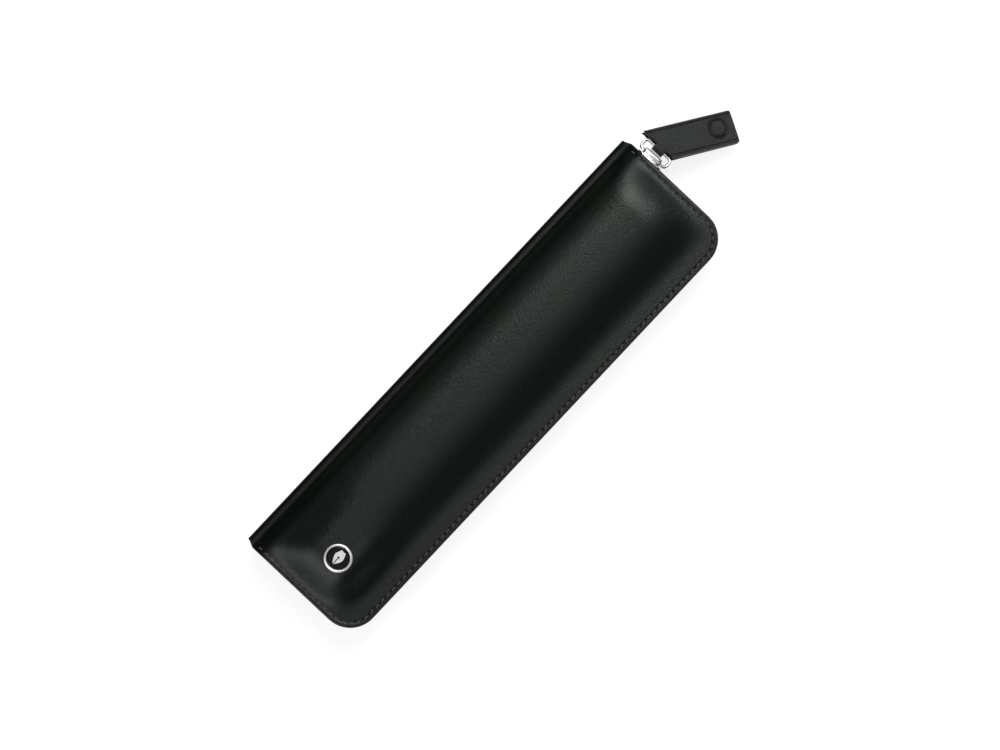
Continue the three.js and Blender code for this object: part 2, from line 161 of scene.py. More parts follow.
@dataclass(frozen=True)
class Leather:
    """Smooth drummed calf: tiny creased pebbles that break a satin shine into soft sparkle."""

    name: str
    base: str
    worn: str
    roughness: float = 0.3
    grain: float = 0.38
    pore: float = 0.25
    relief: float = 0.06
    seam_pitch: float = 0.0
    seam_inset: float = SEAM_INSET
    hole: float = 0.22
    # Specular level left where shade is painted in: the fold beside the spine and the spine wall.
    crease_shine: float = 0.04

    def make(self) -> bpy.types.Material:
        """Builds the leather: grain relief, soft tone changes and, on a sewn piece, needle holes with painted
        shade in them and painted shade that dims the shine in the fold beside the spine.

        Returns:
            The material.
        """
        material, tree, shader = new_material(self.name)
        place = add_node(tree, "ShaderNodeTexCoord").outputs["Object"]
        tone = add_node(tree, "ShaderNodeTexNoise", {
            "Vector": place, "Scale": per_mm(9), "Detail": 4.0, "Roughness": 0.6,
        })
        colour = add_node(tree, "ShaderNodeMix", {
            0: tone.outputs["Fac"], 6: linear(self.base), 7: linear(self.worn),
        }, data_type="RGBA").outputs[2]
        pebble = add_node(tree, "ShaderNodeTexVoronoi", {
            "Vector": place, "Scale": per_mm(self.grain), "Randomness": 1.0,
        }, feature="SMOOTH_F1")
        crease = add_node(tree, "ShaderNodeTexNoise", {
            "Vector": place, "Scale": per_mm(self.pore), "Detail": 3.0, "Roughness": 0.65,
        })
        height = add_node(tree, "ShaderNodeMath", {
            0: pebble.outputs["Distance"], 1: crease.outputs["Fac"],
        }, operation="ADD").outputs[0]
        gloss = add_node(tree, "ShaderNodeMapRange", {
            "Value": crease.outputs["Fac"], "From Min": 0.3, "From Max": 0.7,
            "To Min": self.roughness - 0.07, "To Max": self.roughness + 0.09,
        }).outputs[0]
        if self.seam_pitch:
            colour, height = self._sew(tree, colour, height)
            # Painted shade: the crease attribute dims the specular level and roughens the leather in the fold
            # beside the spine and on the spine wall, standing in for the shade that falls there.
            fold_shade = add_node(tree, "ShaderNodeAttribute", attribute_name="crease").outputs["Fac"]
            dull = add_node(tree, "ShaderNodeMapRange", {
                "Value": fold_shade, "To Min": 0.5, "To Max": self.crease_shine,
            }).outputs[0]
            feed(tree, shader, {"Specular IOR Level": dull})
            gloss = add_node(tree, "ShaderNodeMath", {
                0: fold_shade, 1: 0.12, 2: gloss,
            }, operation="MULTIPLY_ADD").outputs[0]
        bump = add_node(tree, "ShaderNodeBump", {
            "Strength": 1.0, "Distance": self.relief * MM, "Height": height,
        })
        feed(tree, shader, {
            "Base Color": colour, "Roughness": gloss, "Normal": bump.outputs[0], "IOR": 1.45,
            "Specular Tint": linear("#f6fff6"), "Sheen Weight": 0.004, "Sheen Roughness": 0.5,
        })
        return material

    def _sew(
        self, tree: bpy.types.NodeTree, colour: bpy.types.NodeSocket, height: bpy.types.NodeSocket,
    ) -> tuple[bpy.types.NodeSocket, bpy.types.NodeSocket]:
        """Adds what sewing leaves on the margin: needle holes darkened with painted shade, and a painted cut
        edge.

        Args:
            tree: the material's tree.
            colour: the leather's colour so far.
            height: its relief so far.

        Returns:
            The colour and the relief with the holes, their painted shade, and the edge paint in them.
        """
        seam = add_node(tree, "ShaderNodeUVMap", uv_map="seam").outputs[0]
        along = add_node(tree, "ShaderNodeSeparateXYZ", {0: seam})
        phase = add_node(tree, "ShaderNodeMath", {
            0: along.outputs[0], 1: self.seam_pitch / 2,
        }, operation="PINGPONG").outputs[0]
        across = add_node(tree, "ShaderNodeMath", {
            0: along.outputs[1], 1: self.seam_inset + self.hole / 2,
        }, operation="SUBTRACT").outputs[0]
        reach = add_node(tree, "ShaderNodeCombineXYZ", {0: phase, 1: across}).outputs[0]
        distance = add_node(tree, "ShaderNodeVectorMath", {0: reach}, operation="LENGTH").outputs["Value"]
        open_hole = add_node(tree, "ShaderNodeMapRange", {
            "Value": distance, "From Min": self.hole * 0.7, "From Max": self.hole * 1.5,
            "To Min": 0.0, "To Max": 1.0,
        }, interpolation_type="SMOOTHSTEP").outputs[0]
        paint = add_node(tree, "ShaderNodeMapRange", {
            "Value": along.outputs[1], "From Min": 0.12, "From Max": 0.45,
        }, interpolation_type="SMOOTHSTEP").outputs[0]
        both = add_node(tree, "ShaderNodeMath", {0: open_hole, 1: paint}, operation="MULTIPLY").outputs[0]
        # Painted shade: the needle holes are painted near black to stand in for the shade inside them; the
        # near-black cut edge is the leather's real edge paint.
        shaded_holes_painted_edge = add_node(tree, "ShaderNodeMix", {
            0: both, 6: linear("#030303"), 7: colour,
        }, data_type="RGBA").outputs[2]
        dented = add_node(tree, "ShaderNodeMath", {
            0: open_hole, 1: 3.0, 2: height,
        }, operation="MULTIPLY_ADD").outputs[0]
        return shaded_holes_painted_edge, dented


@dataclass(frozen=True)
class PlatedMetal:
    """Nickel plate, from bright to dull, its gloss broken by faint polishing lines."""

    name: str
    tint: str
    roughness: float = 0.12
    scratch: float = 0.25

    def make(self) -> bpy.types.Material:
        """Builds the plating, its gloss broken by fine polishing marks.

        Returns:
            The material.
        """
        material, tree, shader = new_material(self.name)
        place = add_node(tree, "ShaderNodeTexCoord").outputs["Object"]
        stretched = add_node(tree, "ShaderNodeMapping", {
            "Vector": place, "Scale": (1.0, 6.0, 6.0),
        }).outputs[0]
        marks = add_node(tree, "ShaderNodeTexNoise", {
            "Vector": stretched, "Scale": per_mm(self.scratch * 6), "Detail": 3.0,
        }).outputs["Fac"]
        gloss = add_node(tree, "ShaderNodeMapRange", {
            "Value": marks, "To Min": self.roughness * 0.6, "To Max": self.roughness * 1.6,
        }).outputs[0]
        bump = add_node(tree, "ShaderNodeBump", {"Strength": 0.25, "Distance": 0.004 * MM, "Height": marks})
        feed(tree, shader, {
            "Base Color": linear(self.tint), "Metallic": 1.0, "Roughness": gloss, "Normal": bump.outputs[0],
        })
        return material


@dataclass(frozen=True)
class FiredEnamel:
    """Black enamel poured in the badge: glossy, with the faint waves of a fired surface."""

    name: str
    tint: str

    def make(self) -> bpy.types.Material:
        """Builds the enamel.

        Returns:
            The material.
        """
        material, tree, shader = new_material(self.name)
        place = add_node(tree, "ShaderNodeTexCoord").outputs["Object"]
        waves = add_node(tree, "ShaderNodeTexNoise", {"Vector": place, "Scale": per_mm(1.5)}).outputs["Fac"]
        bump = add_node(tree, "ShaderNodeBump", {"Strength": 0.3, "Distance": 0.02 * MM, "Height": waves})
        gloss = add_node(tree, "ShaderNodeMapRange", {
            "Value": waves, "To Min": 0.06, "To Max": 0.16,
        }).outputs[0]
        feed(tree, shader, {
            "Base Color": linear(self.tint), "Roughness": gloss, "Normal": bump.outputs[0],
            "Specular IOR Level": 0.2, "Coat Weight": 0.08, "Coat Roughness": 0.04,
        })
        return material


@dataclass(frozen=True)
class WovenCloth:
    """Plain-woven tape or twisted thread: matt, with the yarns standing up as small ribs."""

    name: str
    dark: str
    light: str
    yarn: float = 0.35

    def make(self) -> bpy.types.Material:
        """Builds the weave from two crossed bands of yarn.

        Returns:
            The material.
        """
        material, tree, shader = new_material(self.name)
        place = add_node(tree, "ShaderNodeTexCoord").outputs["Object"]
        bands = [
            add_node(tree, "ShaderNodeTexWave", {
                "Vector": place, "Scale": per_mm(self.yarn) / 20, "Distortion": 0.6, "Detail": 1.0,
            }, bands_direction=direction).outputs["Fac"]
            for direction in ("DIAGONAL", "Z")
        ]
        ribs = add_node(tree, "ShaderNodeMath", {0: bands[0], 1: bands[1]}, operation="MAXIMUM").outputs[0]
        colour = add_node(tree, "ShaderNodeMix", {
            0: ribs, 6: linear(self.dark), 7: linear(self.light),
        }, data_type="RGBA").outputs[2]
        bump = add_node(tree, "ShaderNodeBump", {"Strength": 0.8, "Distance": 0.08 * MM, "Height": ribs})
        feed(tree, shader, {
            "Base Color": colour, "Normal": bump.outputs[0], "Roughness": 0.85, "Sheen Weight": 0.2,
        })
        return material


@dataclass(frozen=True)
class PressedBoard:
    """Dark fibre board: dull, with short fibres pressed into it."""

    name: str
    tint: str
    fibre: str

    def make(self) -> bpy.types.Material:
        """Builds the board.

        Returns:
            The material.
        """
        material, tree, shader = new_material(self.name)
        place = add_node(tree, "ShaderNodeTexCoord").outputs["Object"]
        fibres = add_node(tree, "ShaderNodeTexNoise", {
            "Vector": place, "Scale": per_mm(0.8), "Detail": 6.0, "Distortion": 1.5,
        }).outputs["Fac"]
        colour = add_node(tree, "ShaderNodeMix", {
            0: fibres, 6: linear(self.tint), 7: linear(self.fibre),
        }, data_type="RGBA").outputs[2]
        bump = add_node(tree, "ShaderNodeBump", {"Strength": 0.5, "Distance": 0.05 * MM, "Height": fibres})
        feed(tree, shader, {"Base Color": colour, "Normal": bump.outputs[0], "Roughness": 0.9})
        return material



# ---- Mesh helpers ----


def shade(mesh: bpy.types.Mesh, smooth: bool = True) -> None:
    """Gives a whole mesh smooth or flat shading."""
    mesh.polygons.foreach_set("use_smooth", [smooth] * len(mesh.polygons))


def make_object(name: str, verts: Points, faces: Faces, material: bpy.types.Material) -> bpy.types.Object:
    """Makes one smooth-shaded mesh object at the origin.

    Args:
        name: the piece's name.
        verts: its points in millimetres, in the frame.
        faces: its faces.
        material: its finish.

    Returns:
        The object, linked to the scene.
    """
    mesh = bpy.data.meshes.new(name)
    mesh.from_pydata((np.asarray(verts, float) * MM).tolist(), [], faces)
    mesh.materials.append(material)
    shade(mesh)
    obj = bpy.data.objects.new(name, mesh)
    bpy.context.scene.collection.objects.link(obj)
    return obj


def tidy(obj: bpy.types.Object) -> bpy.types.Object:
    """Merges a mesh's doubles and turns all its faces outwards.

    Args:
        obj: a mesh object.

    Returns:
        The same object.
    """
    work = bmesh.new()
    work.from_mesh(obj.data)
    bmesh.ops.remove_doubles(work, verts=work.verts, dist=1e-7)
    bmesh.ops.recalc_face_normals(work, faces=work.faces)
    work.to_mesh(obj.data)
    work.free()
    return obj


def bake_modifiers(obj: bpy.types.Object) -> bpy.types.Object:
    """Puts the result of an object's modifiers into its own plain mesh.

    Args:
        obj: an object with modifiers.

    Returns:
        The same object, without modifiers.
    """
    graph = bpy.context.evaluated_depsgraph_get()
    mesh = bpy.data.meshes.new_from_object(obj.evaluated_get(graph))
    old = obj.data
    obj.modifiers.clear()
    obj.data = mesh
    bpy.data.meshes.remove(old)
    return obj


def grid_faces(rows: int, cols: int, first: int = 0, wrap: bool = False) -> Faces:
    """Quads of a grid whose points run row by row.

    Args:
        rows: number of rows.
        cols: number of points in a row.
        first: index of the grid's first point.
        wrap: whether the last column joins the first.

    Returns:
        The quads.
    """
    faces = []
    for r in range(rows - 1):
        for c in range(cols if wrap else cols - 1):
            n = (c + 1) % cols
            faces.append((
                first + r * cols + c, first + r * cols + n,
                first + (r + 1) * cols + n, first + (r + 1) * cols + c,
            ))
    return faces


def shell(outer: Points, inner: Points) -> tuple[Points, Faces]:
    """Closes two matching grids into one skin with a rim.

    Args:
        outer: rows x cols x 3 points of the outside.
        inner: the same grid on the inside.

    Returns:
        Points and faces of the closed skin.
    """
    rows, cols = outer.shape[:2]
    count = rows * cols
    faces = grid_faces(rows, cols)
    faces += [tuple(reversed(f)) for f in grid_faces(rows, cols, count)]
    rim = [r * cols for r in range(rows)]
    rim += [(rows - 1) * cols + c for c in range(1, cols)]
    rim += [r * cols + cols - 1 for r in range(rows - 2, -1, -1)]
    rim += list(range(cols - 2, 0, -1))
    for a, b in zip(rim, rim[1:] + rim[:1]):
        faces.append((a, b, b + count, a + count))
    return np.concatenate([outer.reshape(-1, 3), inner.reshape(-1, 3)]), faces


def unit(vectors: Points) -> Points:
    """The vectors at length one."""
    return vectors / np.linalg.norm(vectors, axis=1, keepdims=True)


def sweep(
    path: Points, section: Points, closed: bool, upright: tuple[float, float, float] = (0, 0, 1),
) -> tuple[Points, Faces]:
    """Carries a section along a flat path.

    Args:
        path: the path's points.
        section: offsets to the path's left and along the path's upright, in order round the section.
        closed: whether the path's end joins its start.
        upright: the direction at right angles to the plane that the path lies in.

    Returns:
        Points and faces of the swept solid, capped where the path is open.
    """
    count = len(path)
    ahead = np.roll(path, -1, 0) - path
    behind = path - np.roll(path, 1, 0)
    if not closed:
        ahead[-1], behind[0] = behind[-1], ahead[0]
    tangent = unit(unit(ahead) + unit(behind))
    left = np.cross(upright, tangent)
    verts = np.concatenate([
        place + section[:, :1] * aside + section[:, 1:] * np.array(upright)
        for place, aside in zip(path, left)
    ])
    size = len(section)
    faces = grid_faces(count, size, wrap=True)
    if closed:
        last = (count - 1) * size
        faces += [(last + c, last + (c + 1) % size, (c + 1) % size, c) for c in range(size)]
    else:
        faces += [tuple(range(size)), tuple(range(count * size - 1, (count - 1) * size - 1, -1))]
    return verts, faces


def ring_section(radius: float, sides: int = 12, squash: float = 1.0) -> Points:
    """Round wire section with the given radius, pressed flat by squash."""
    angles = np.linspace(0, 2 * math.pi, sides, endpoint=False)
    return np.stack([radius * np.cos(angles), radius * squash * np.sin(angles)], 1)


def smoothstep(x: Points, low: float, high: float) -> Points:
    """0 below low, 1 above high, and an even curve between."""
    t = np.clip((x - low) / (high - low), 0, 1)
    return t * t * (3 - 2 * t)


def spaced(stops: list[tuple[float, float]]) -> Points:
    """Sample places with their own spacing in each stretch.

    Args:
        stops: place and the spacing from there to the next stop; the last spacing isn't used.

    Returns:
        The places, both ends included.
    """
    parts = []
    for (start, step), (end, _) in zip(stops, stops[1:]):
        count = max(1, round((end - start) / step))
        parts.append(np.linspace(start, end, count, endpoint=False))
    return np.append(np.concatenate(parts), stops[-1][0])


def lathe(profile: Points, sides: int = 64, closed: bool = True) -> tuple[Points, Faces]:
    """Turns a profile of radius and height round an upright axis through the origin.

    Args:
        profile: radius and height pairs, in order along the section.
        sides: number of facets.
        closed: whether the profile comes back to its start; an open one gets a cap at each end.

    Returns:
        Points and faces of the turned solid.
    """
    angles = np.linspace(0, math.tau, sides, endpoint=False)
    rings = [
        np.column_stack([r * np.cos(angles), r * np.sin(angles), np.full(sides, z)]) for r, z in profile
    ]
    faces = grid_faces(len(profile), sides, wrap=True)
    last = (len(profile) - 1) * sides
    if closed:
        faces += [(last + c, last + (c + 1) % sides, (c + 1) % sides, c) for c in range(sides)]
    else:
        faces += [tuple(range(sides))[::-1], tuple(range(last, last + sides))]
    return np.concatenate(rings), faces


def rounded_rectangle(width: float, height: float, radius: float, corner_points: int = 6) -> Points:
    """Outline of a rectangle about the origin with round corners, anticlockwise.

    Args:
        width: size along the first axis.
        height: size along the second axis.
        radius: of the corners.
        corner_points: points in each corner.

    Returns:
        The outline.
    """
    points = []
    for quarter, (sx, sy) in enumerate(((1, 1), (-1, 1), (-1, -1), (1, -1))):
        centre = np.array([sx * (width / 2 - radius), sy * (height / 2 - radius)])
        for angle in np.linspace(0, math.pi / 2, corner_points) + quarter * math.pi / 2:
            points.append(centre + radius * np.array([math.cos(angle), math.sin(angle)]))
    return np.array(points)


def drawn_in(outline: Points, amount: float) -> Points:
    """Moves an outline inwards.

    Args:
        outline: the outline, anticlockwise.
        amount: how far its sides move.

    Returns:
        The new outline, point for point.
    """
    ahead = unit(np.roll(outline, -1, 0) - outline + 1e-12)
    behind = unit(outline - np.roll(outline, 1, 0) + 1e-12)
    normal = np.stack([-(ahead + behind)[:, 1], (ahead + behind)[:, 0]], 1)
    length = np.linalg.norm(normal, axis=1, keepdims=True)
    return outline + normal / np.maximum(length, 1e-6) * amount / np.maximum(length / 2, 0.35)


def slab(outline: Points, low: float, high: float, edge: float, steps: int = 4) -> tuple[Points, Faces]:
    """A plate with both its edges rounded over.

    Args:
        outline: the plate's outline, anticlockwise.
        low: height of its underside.
        high: height of its top.
        edge: radius of the rounding.
        steps: facets in each rounding.

    Returns:
        Points, with the third coordinate as height, and faces.
    """
    angles = np.linspace(0, math.pi / 2, steps + 1)
    rings = [(edge * (1 - math.sin(a)), low + edge * (1 - math.cos(a))) for a in angles]
    rings += [(edge * (1 - math.cos(a)), high - edge * (1 - math.sin(a))) for a in angles]
    count = len(outline)
    verts = np.concatenate([
        np.column_stack([drawn_in(outline, inset), np.full(count, height)]) for inset, height in rings
    ])
    faces = grid_faces(len(rings), count, wrap=True)
    faces += [tuple(range(count))[::-1], tuple(range(len(verts) - count, len(verts)))]
    return verts, faces


def placed(verts: Points, axes: Points, origin: Points) -> Points:
    """Local points put into the frame.

    Args:
        verts: points in a local frame.
        axes: the local frame's three axes, one to a row.
        origin: where its origin is.

    Returns:
        The points in the case's frame.
    """
    return verts @ np.asarray(axes, float) + np.asarray(origin, float)


def joined(*solids: tuple[Points, Faces]) -> tuple[Points, Faces]:
    """Joins several solids into one list of points and faces.

    Args:
        solids: the points and faces of each solid.

    Returns:
        All the points and all the faces.
    """
    verts, faces, first = [], [], 0
    for points, sides in solids:
        verts.append(points)
        faces += [tuple(i + first for i in f) for f in sides]
        first += len(points)
    return np.concatenate(verts), faces


def finish_piece(obj: bpy.types.Object, body: str, slot: str, *nodes: str) -> bpy.types.Object:
    """Gives a piece its body and hides the CAD nodes that it stands for.

    Args:
        obj: the piece.
        body: the frame's body that it rides on.
        slot: the record's material slot; not used.
        nodes: the CAD nodes that it replaces.

    Returns:
        The same piece.
    """
    tidy(obj)
    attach(obj, body)
    if nodes:
        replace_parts(obj, *nodes)
    return obj


# ---- Sizes read from the frame ----


def node_box(name: str) -> tuple[Points, Points]:
    """Lowest and highest corners of a CAD node at rest, in millimetres."""
    low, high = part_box(name)
    return np.array(low) / MM, np.array(high) / MM


@dataclass(frozen=True)
class CaseSizes:
    """What every piece of the case is fitted to, in millimetres, with heights from the middle plane."""

    half_width: float
    half_length: float
    middle: float
    crown: float
    margin_inner: float
    leather: float
    corner: float = 9.5
    sewn_from_spine: float = 3.8

    @classmethod
    def from_frame(cls) -> "CaseSizes":
        """Reads the case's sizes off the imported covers.

        Returns:
            The sizes.
        """
        low, high = node_box("front_cover")
        spine_low, spine_high = node_box("spine_cover")
        middle = (spine_low[2] + spine_high[2]) / 2
        return cls(
            half_width=high[0], half_length=high[1], middle=middle,
            crown=high[2] - middle, margin_inner=low[2] - middle,
            leather=spine_high[0] - spine_low[0],
        )

    @property
    def margin(self) -> float:
        """Height of the sewn margin's outside."""
        return self.margin_inner + self.leather

    def inset(self, x: Points, y: Points) -> Points:
        """Finds how far places lie in from the three sewn sides.

        Args:
            x: places across the case.
            y: places along it.

        Returns:
            The distances.
        """
        dx, dy = self.half_width - x, self.half_length - np.abs(y)
        over_x, over_y = self.corner - dx, self.corner - dy
        round_part = self.corner - np.hypot(np.maximum(over_x, 0), np.maximum(over_y, 0))
        straight = np.minimum(dx, dy)
        return np.where((over_x > 0) & (over_y > 0), round_part, straight)

    def right_edge(self, y: Points) -> Points:
        """Where the zip edge lies across the case, at each place along it."""
        over = np.clip(np.abs(y) - (self.half_length - self.corner), 0, self.corner)
        return self.half_width - self.corner + np.sqrt(self.corner ** 2 - over ** 2)

    def seam_path(self, inset: float, start: float, step: float = 0.4) -> Points:
        """Level path along the three sewn sides, from the slider's end round to the badge's end.

        Args:
            inset: distance in from the edge.
            start: distance of the path's two ends from the spine's face.
            step: spacing of the points.

        Returns:
            Points in the middle plane.
        """
        x0 = -self.half_width + start
        cx, cy = self.half_width - self.corner, self.half_length - self.corner
        radius = self.corner - inset
        run = np.linspace(x0, cx, max(2, round((cx - x0) / step)), endpoint=False)
        side = np.linspace(cy, -cy, round(2 * cy / step), endpoint=False)
        turn = np.linspace(0, math.pi / 2, max(6, round(radius * math.pi / 2 / step)), endpoint=False)
        parts = [
            np.stack([run, np.full_like(run, cy + radius)], 1),
            np.stack([cx + radius * np.sin(turn), cy + radius * np.cos(turn)], 1),
            np.stack([np.full_like(side, cx + radius), side], 1),
            np.stack([cx + radius * np.cos(turn), -cy - radius * np.sin(turn)], 1),
            np.stack([run[:0:-1], np.full(len(run) - 1, -cy - radius)], 1),
            np.array([[x0, -cy - radius]]),
        ]
        flat = np.concatenate(parts)
        return np.column_stack([flat, np.full(len(flat), self.middle)])

    def seam_length(self, inset: float) -> float:
        """Length of the stitch line on the given inset."""
        straight = self.half_width - self.corner - (self.sewn_from_spine - self.half_width)
        return 2 * straight + 2 * (self.half_length - self.corner) + math.pi * (self.corner - inset)

    def stitch_pitch(self, inset: float) -> tuple[float, int]:
        """Finds the pitch nearest the wanted one that fits the stitch line.

        Args:
            inset: the stitch line's distance in from the edge.

        Returns:
            The pitch and the number of stitches.
        """
        length = self.seam_length(inset)
        count = round(length / STITCH_PITCH)
        return length / count, count

    def seam_place(self, x: Points, y: Points, inset: float) -> Points:
        """Finds where along the stitch line the place nearest each point lies.

        Args:
            x: places across the case.
            y: places along it.
            inset: the stitch line's distance in from the edge.

        Returns:
            Lengths along the line from its start at the slider's end.
        """
        x0 = -self.half_width + self.sewn_from_spine
        cx, cy = self.half_width - self.corner, self.half_length - self.corner
        radius = self.corner - inset
        run, turn = cx - x0, radius * math.pi / 2
        angle = np.arctan2(x - cx, np.maximum(np.abs(y) - cy, 1e-9))
        top = np.where(x < cx, x - x0, run + radius * np.clip(angle, 0, math.pi / 2))
        whole = 2 * run + 2 * turn + 2 * cy
        return np.where(np.abs(y) < cy, run + turn + cy - y, np.where(y > 0, top, whole - top))


# ---- Repeats along a path ----


class RepeatAlongPath:
    """A geometry-nodes tree that sets copies of one item along a path, turned to follow it."""

    def __init__(self) -> None:
        """Builds the tree with its named inputs."""
        tree = bpy.data.node_groups.new("repeat along path", "GeometryNodeTree")
        sockets = (
            ("Path", "NodeSocketGeometry"), ("Item", "NodeSocketObject"), ("Count", "NodeSocketInt"),
            ("Slant", "NodeSocketFloat"), ("Wobble", "NodeSocketFloat"), ("Seed", "NodeSocketInt"),
            ("Finish", "NodeSocketMaterial"),
        )
        for name, kind in sockets:
            tree.interface.new_socket(name=name, in_out="INPUT", socket_type=kind)
        tree.interface.new_socket(name="Geometry", in_out="OUTPUT", socket_type="NodeSocketGeometry")
        given = add_node(tree, "NodeGroupInput").outputs
        path = add_node(tree, "GeometryNodeMeshToCurve", {"Mesh": given["Path"]}).outputs[0]
        places = add_node(tree, "GeometryNodeCurveToPoints", {
            "Curve": path, "Count": given["Count"],
        }, mode="COUNT")
        facing = add_node(tree, "FunctionNodeAlignRotationToVector", {
            "Vector": places.outputs["Tangent"],
        }, axis="X", pivot_axis="Z")
        wobble = add_node(tree, "FunctionNodeRandomValue", {
            "Min": (0.0, 0.0, -1.0), "Max": (0.0, 0.0, 1.0), "Seed": given["Seed"],
        }, data_type="FLOAT_VECTOR")
        spread = add_node(tree, "ShaderNodeVectorMath", {
            0: wobble.outputs[0], "Scale": given["Wobble"],
        }, operation="SCALE").outputs[0]
        slant = add_node(tree, "ShaderNodeCombineXYZ", {2: given["Slant"]}).outputs[0]
        turn = add_node(tree, "ShaderNodeVectorMath", {0: spread, 1: slant}, operation="ADD").outputs[0]
        euler = add_node(tree, "FunctionNodeEulerToRotation", {0: turn}).outputs[0]
        turned = add_node(tree, "FunctionNodeRotateRotation", {
            0: facing.outputs[0], 1: euler,
        }, rotation_space="LOCAL").outputs[0]
        item = add_node(tree, "GeometryNodeObjectInfo", {"Object": given["Item"], "As Instance": True})
        copies = add_node(tree, "GeometryNodeInstanceOnPoints", {
            "Points": places.outputs["Points"], "Instance": item.outputs["Geometry"], "Rotation": turned,
        }).outputs[0]
        solid = add_node(tree, "GeometryNodeRealizeInstances", {0: copies}).outputs[0]
        dressed = add_node(tree, "GeometryNodeSetMaterial", {
            "Geometry": solid, "Material": given["Finish"],
        }).outputs[0]
        add_node(tree, "NodeGroupOutput", {0: dressed})
        self.tree = tree

    def lay(
        self, name: str, path: Points, item: bpy.types.Object, count: int,
        finish: bpy.types.Material, slant: float = 0.0, wobble: float = 0.0,
    ) -> bpy.types.Object:
        """Lays copies of an item along a path and turns the result into a plain mesh.

        Args:
            name: the new piece's name.
            path: its points in millimetres.
            item: the object that is copied, modelled round the origin with its length along X.
            count: number of copies, the first and last at the path's ends.
            finish: the copies' material.
            slant: turn of each copy in the path's plane, in radians.
            wobble: largest extra turn that the seed gives a copy.

        Returns:
            The piece.
        """
        mesh = bpy.data.meshes.new(name)
        mesh.from_pydata((path * MM).tolist(), [(i, i + 1) for i in range(len(path) - 1)], [])
        obj = bpy.data.objects.new(name, mesh)
        bpy.context.scene.collection.objects.link(obj)
        modifier = obj.modifiers.new("repeat", "NODES")
        modifier.node_group = self.tree
        ids = {s.name: s.identifier for s in self.tree.interface.items_tree if s.in_out == "INPUT"}
        values = {"Item": item, "Count": count, "Slant": slant, "Wobble": wobble, "Seed": 7, "Finish": finish}
        for key, value in values.items():
            modifier[ids[key]] = value
        made = bake_modifiers(obj)
        shade(made.data)
        return made


# ---- The finishes, one for each slot ----

SIZES = CaseSizes.from_frame()
BADGE_X, BADGE_Y = (sum(node_box("badge_bezel"))[:2] / 2).tolist()

FINISHES = {
    "case": Leather(
        "black calf, satin", "#060a06", "#0b100b", seam_pitch=SIZES.stitch_pitch(SEAM_INSET)[0],
    ).make(),
    "lining": Leather("black lining calf, matt", "#121312", "#1a1b1a", roughness=0.6, grain=0.4).make(),
    "tab": Leather(
        "charcoal calf, semi-matt", "#101111", "#202121", roughness=0.36, grain=0.55, relief=0.19,
    ).make(),
    "polished": PlatedMetal("bright nickel plate", "#dcdddc").make(),
    "satin": PlatedMetal("satin nickel plate", "#f6f6f4", roughness=0.4).make(),
    "zip": PlatedMetal("dull nickel plate", "#a9abac", roughness=0.28).make(),
    "enamel": FiredEnamel("black fired enamel", "#08080a").make(),
    "tape": WovenCloth("black zip tape, plain weave", "#0b0c0b", "#1b1c1b", yarn=0.4).make(),
    "thread": WovenCloth("charcoal waxed thread", "#1b1e1a", "#43473f", yarn=0.3).make(),
    "board": PressedBoard("black fibre board", "#1d1c1a", "#2f2d2a").make(),
}


# ---- Covers, linings and everything sewn to the margins ----


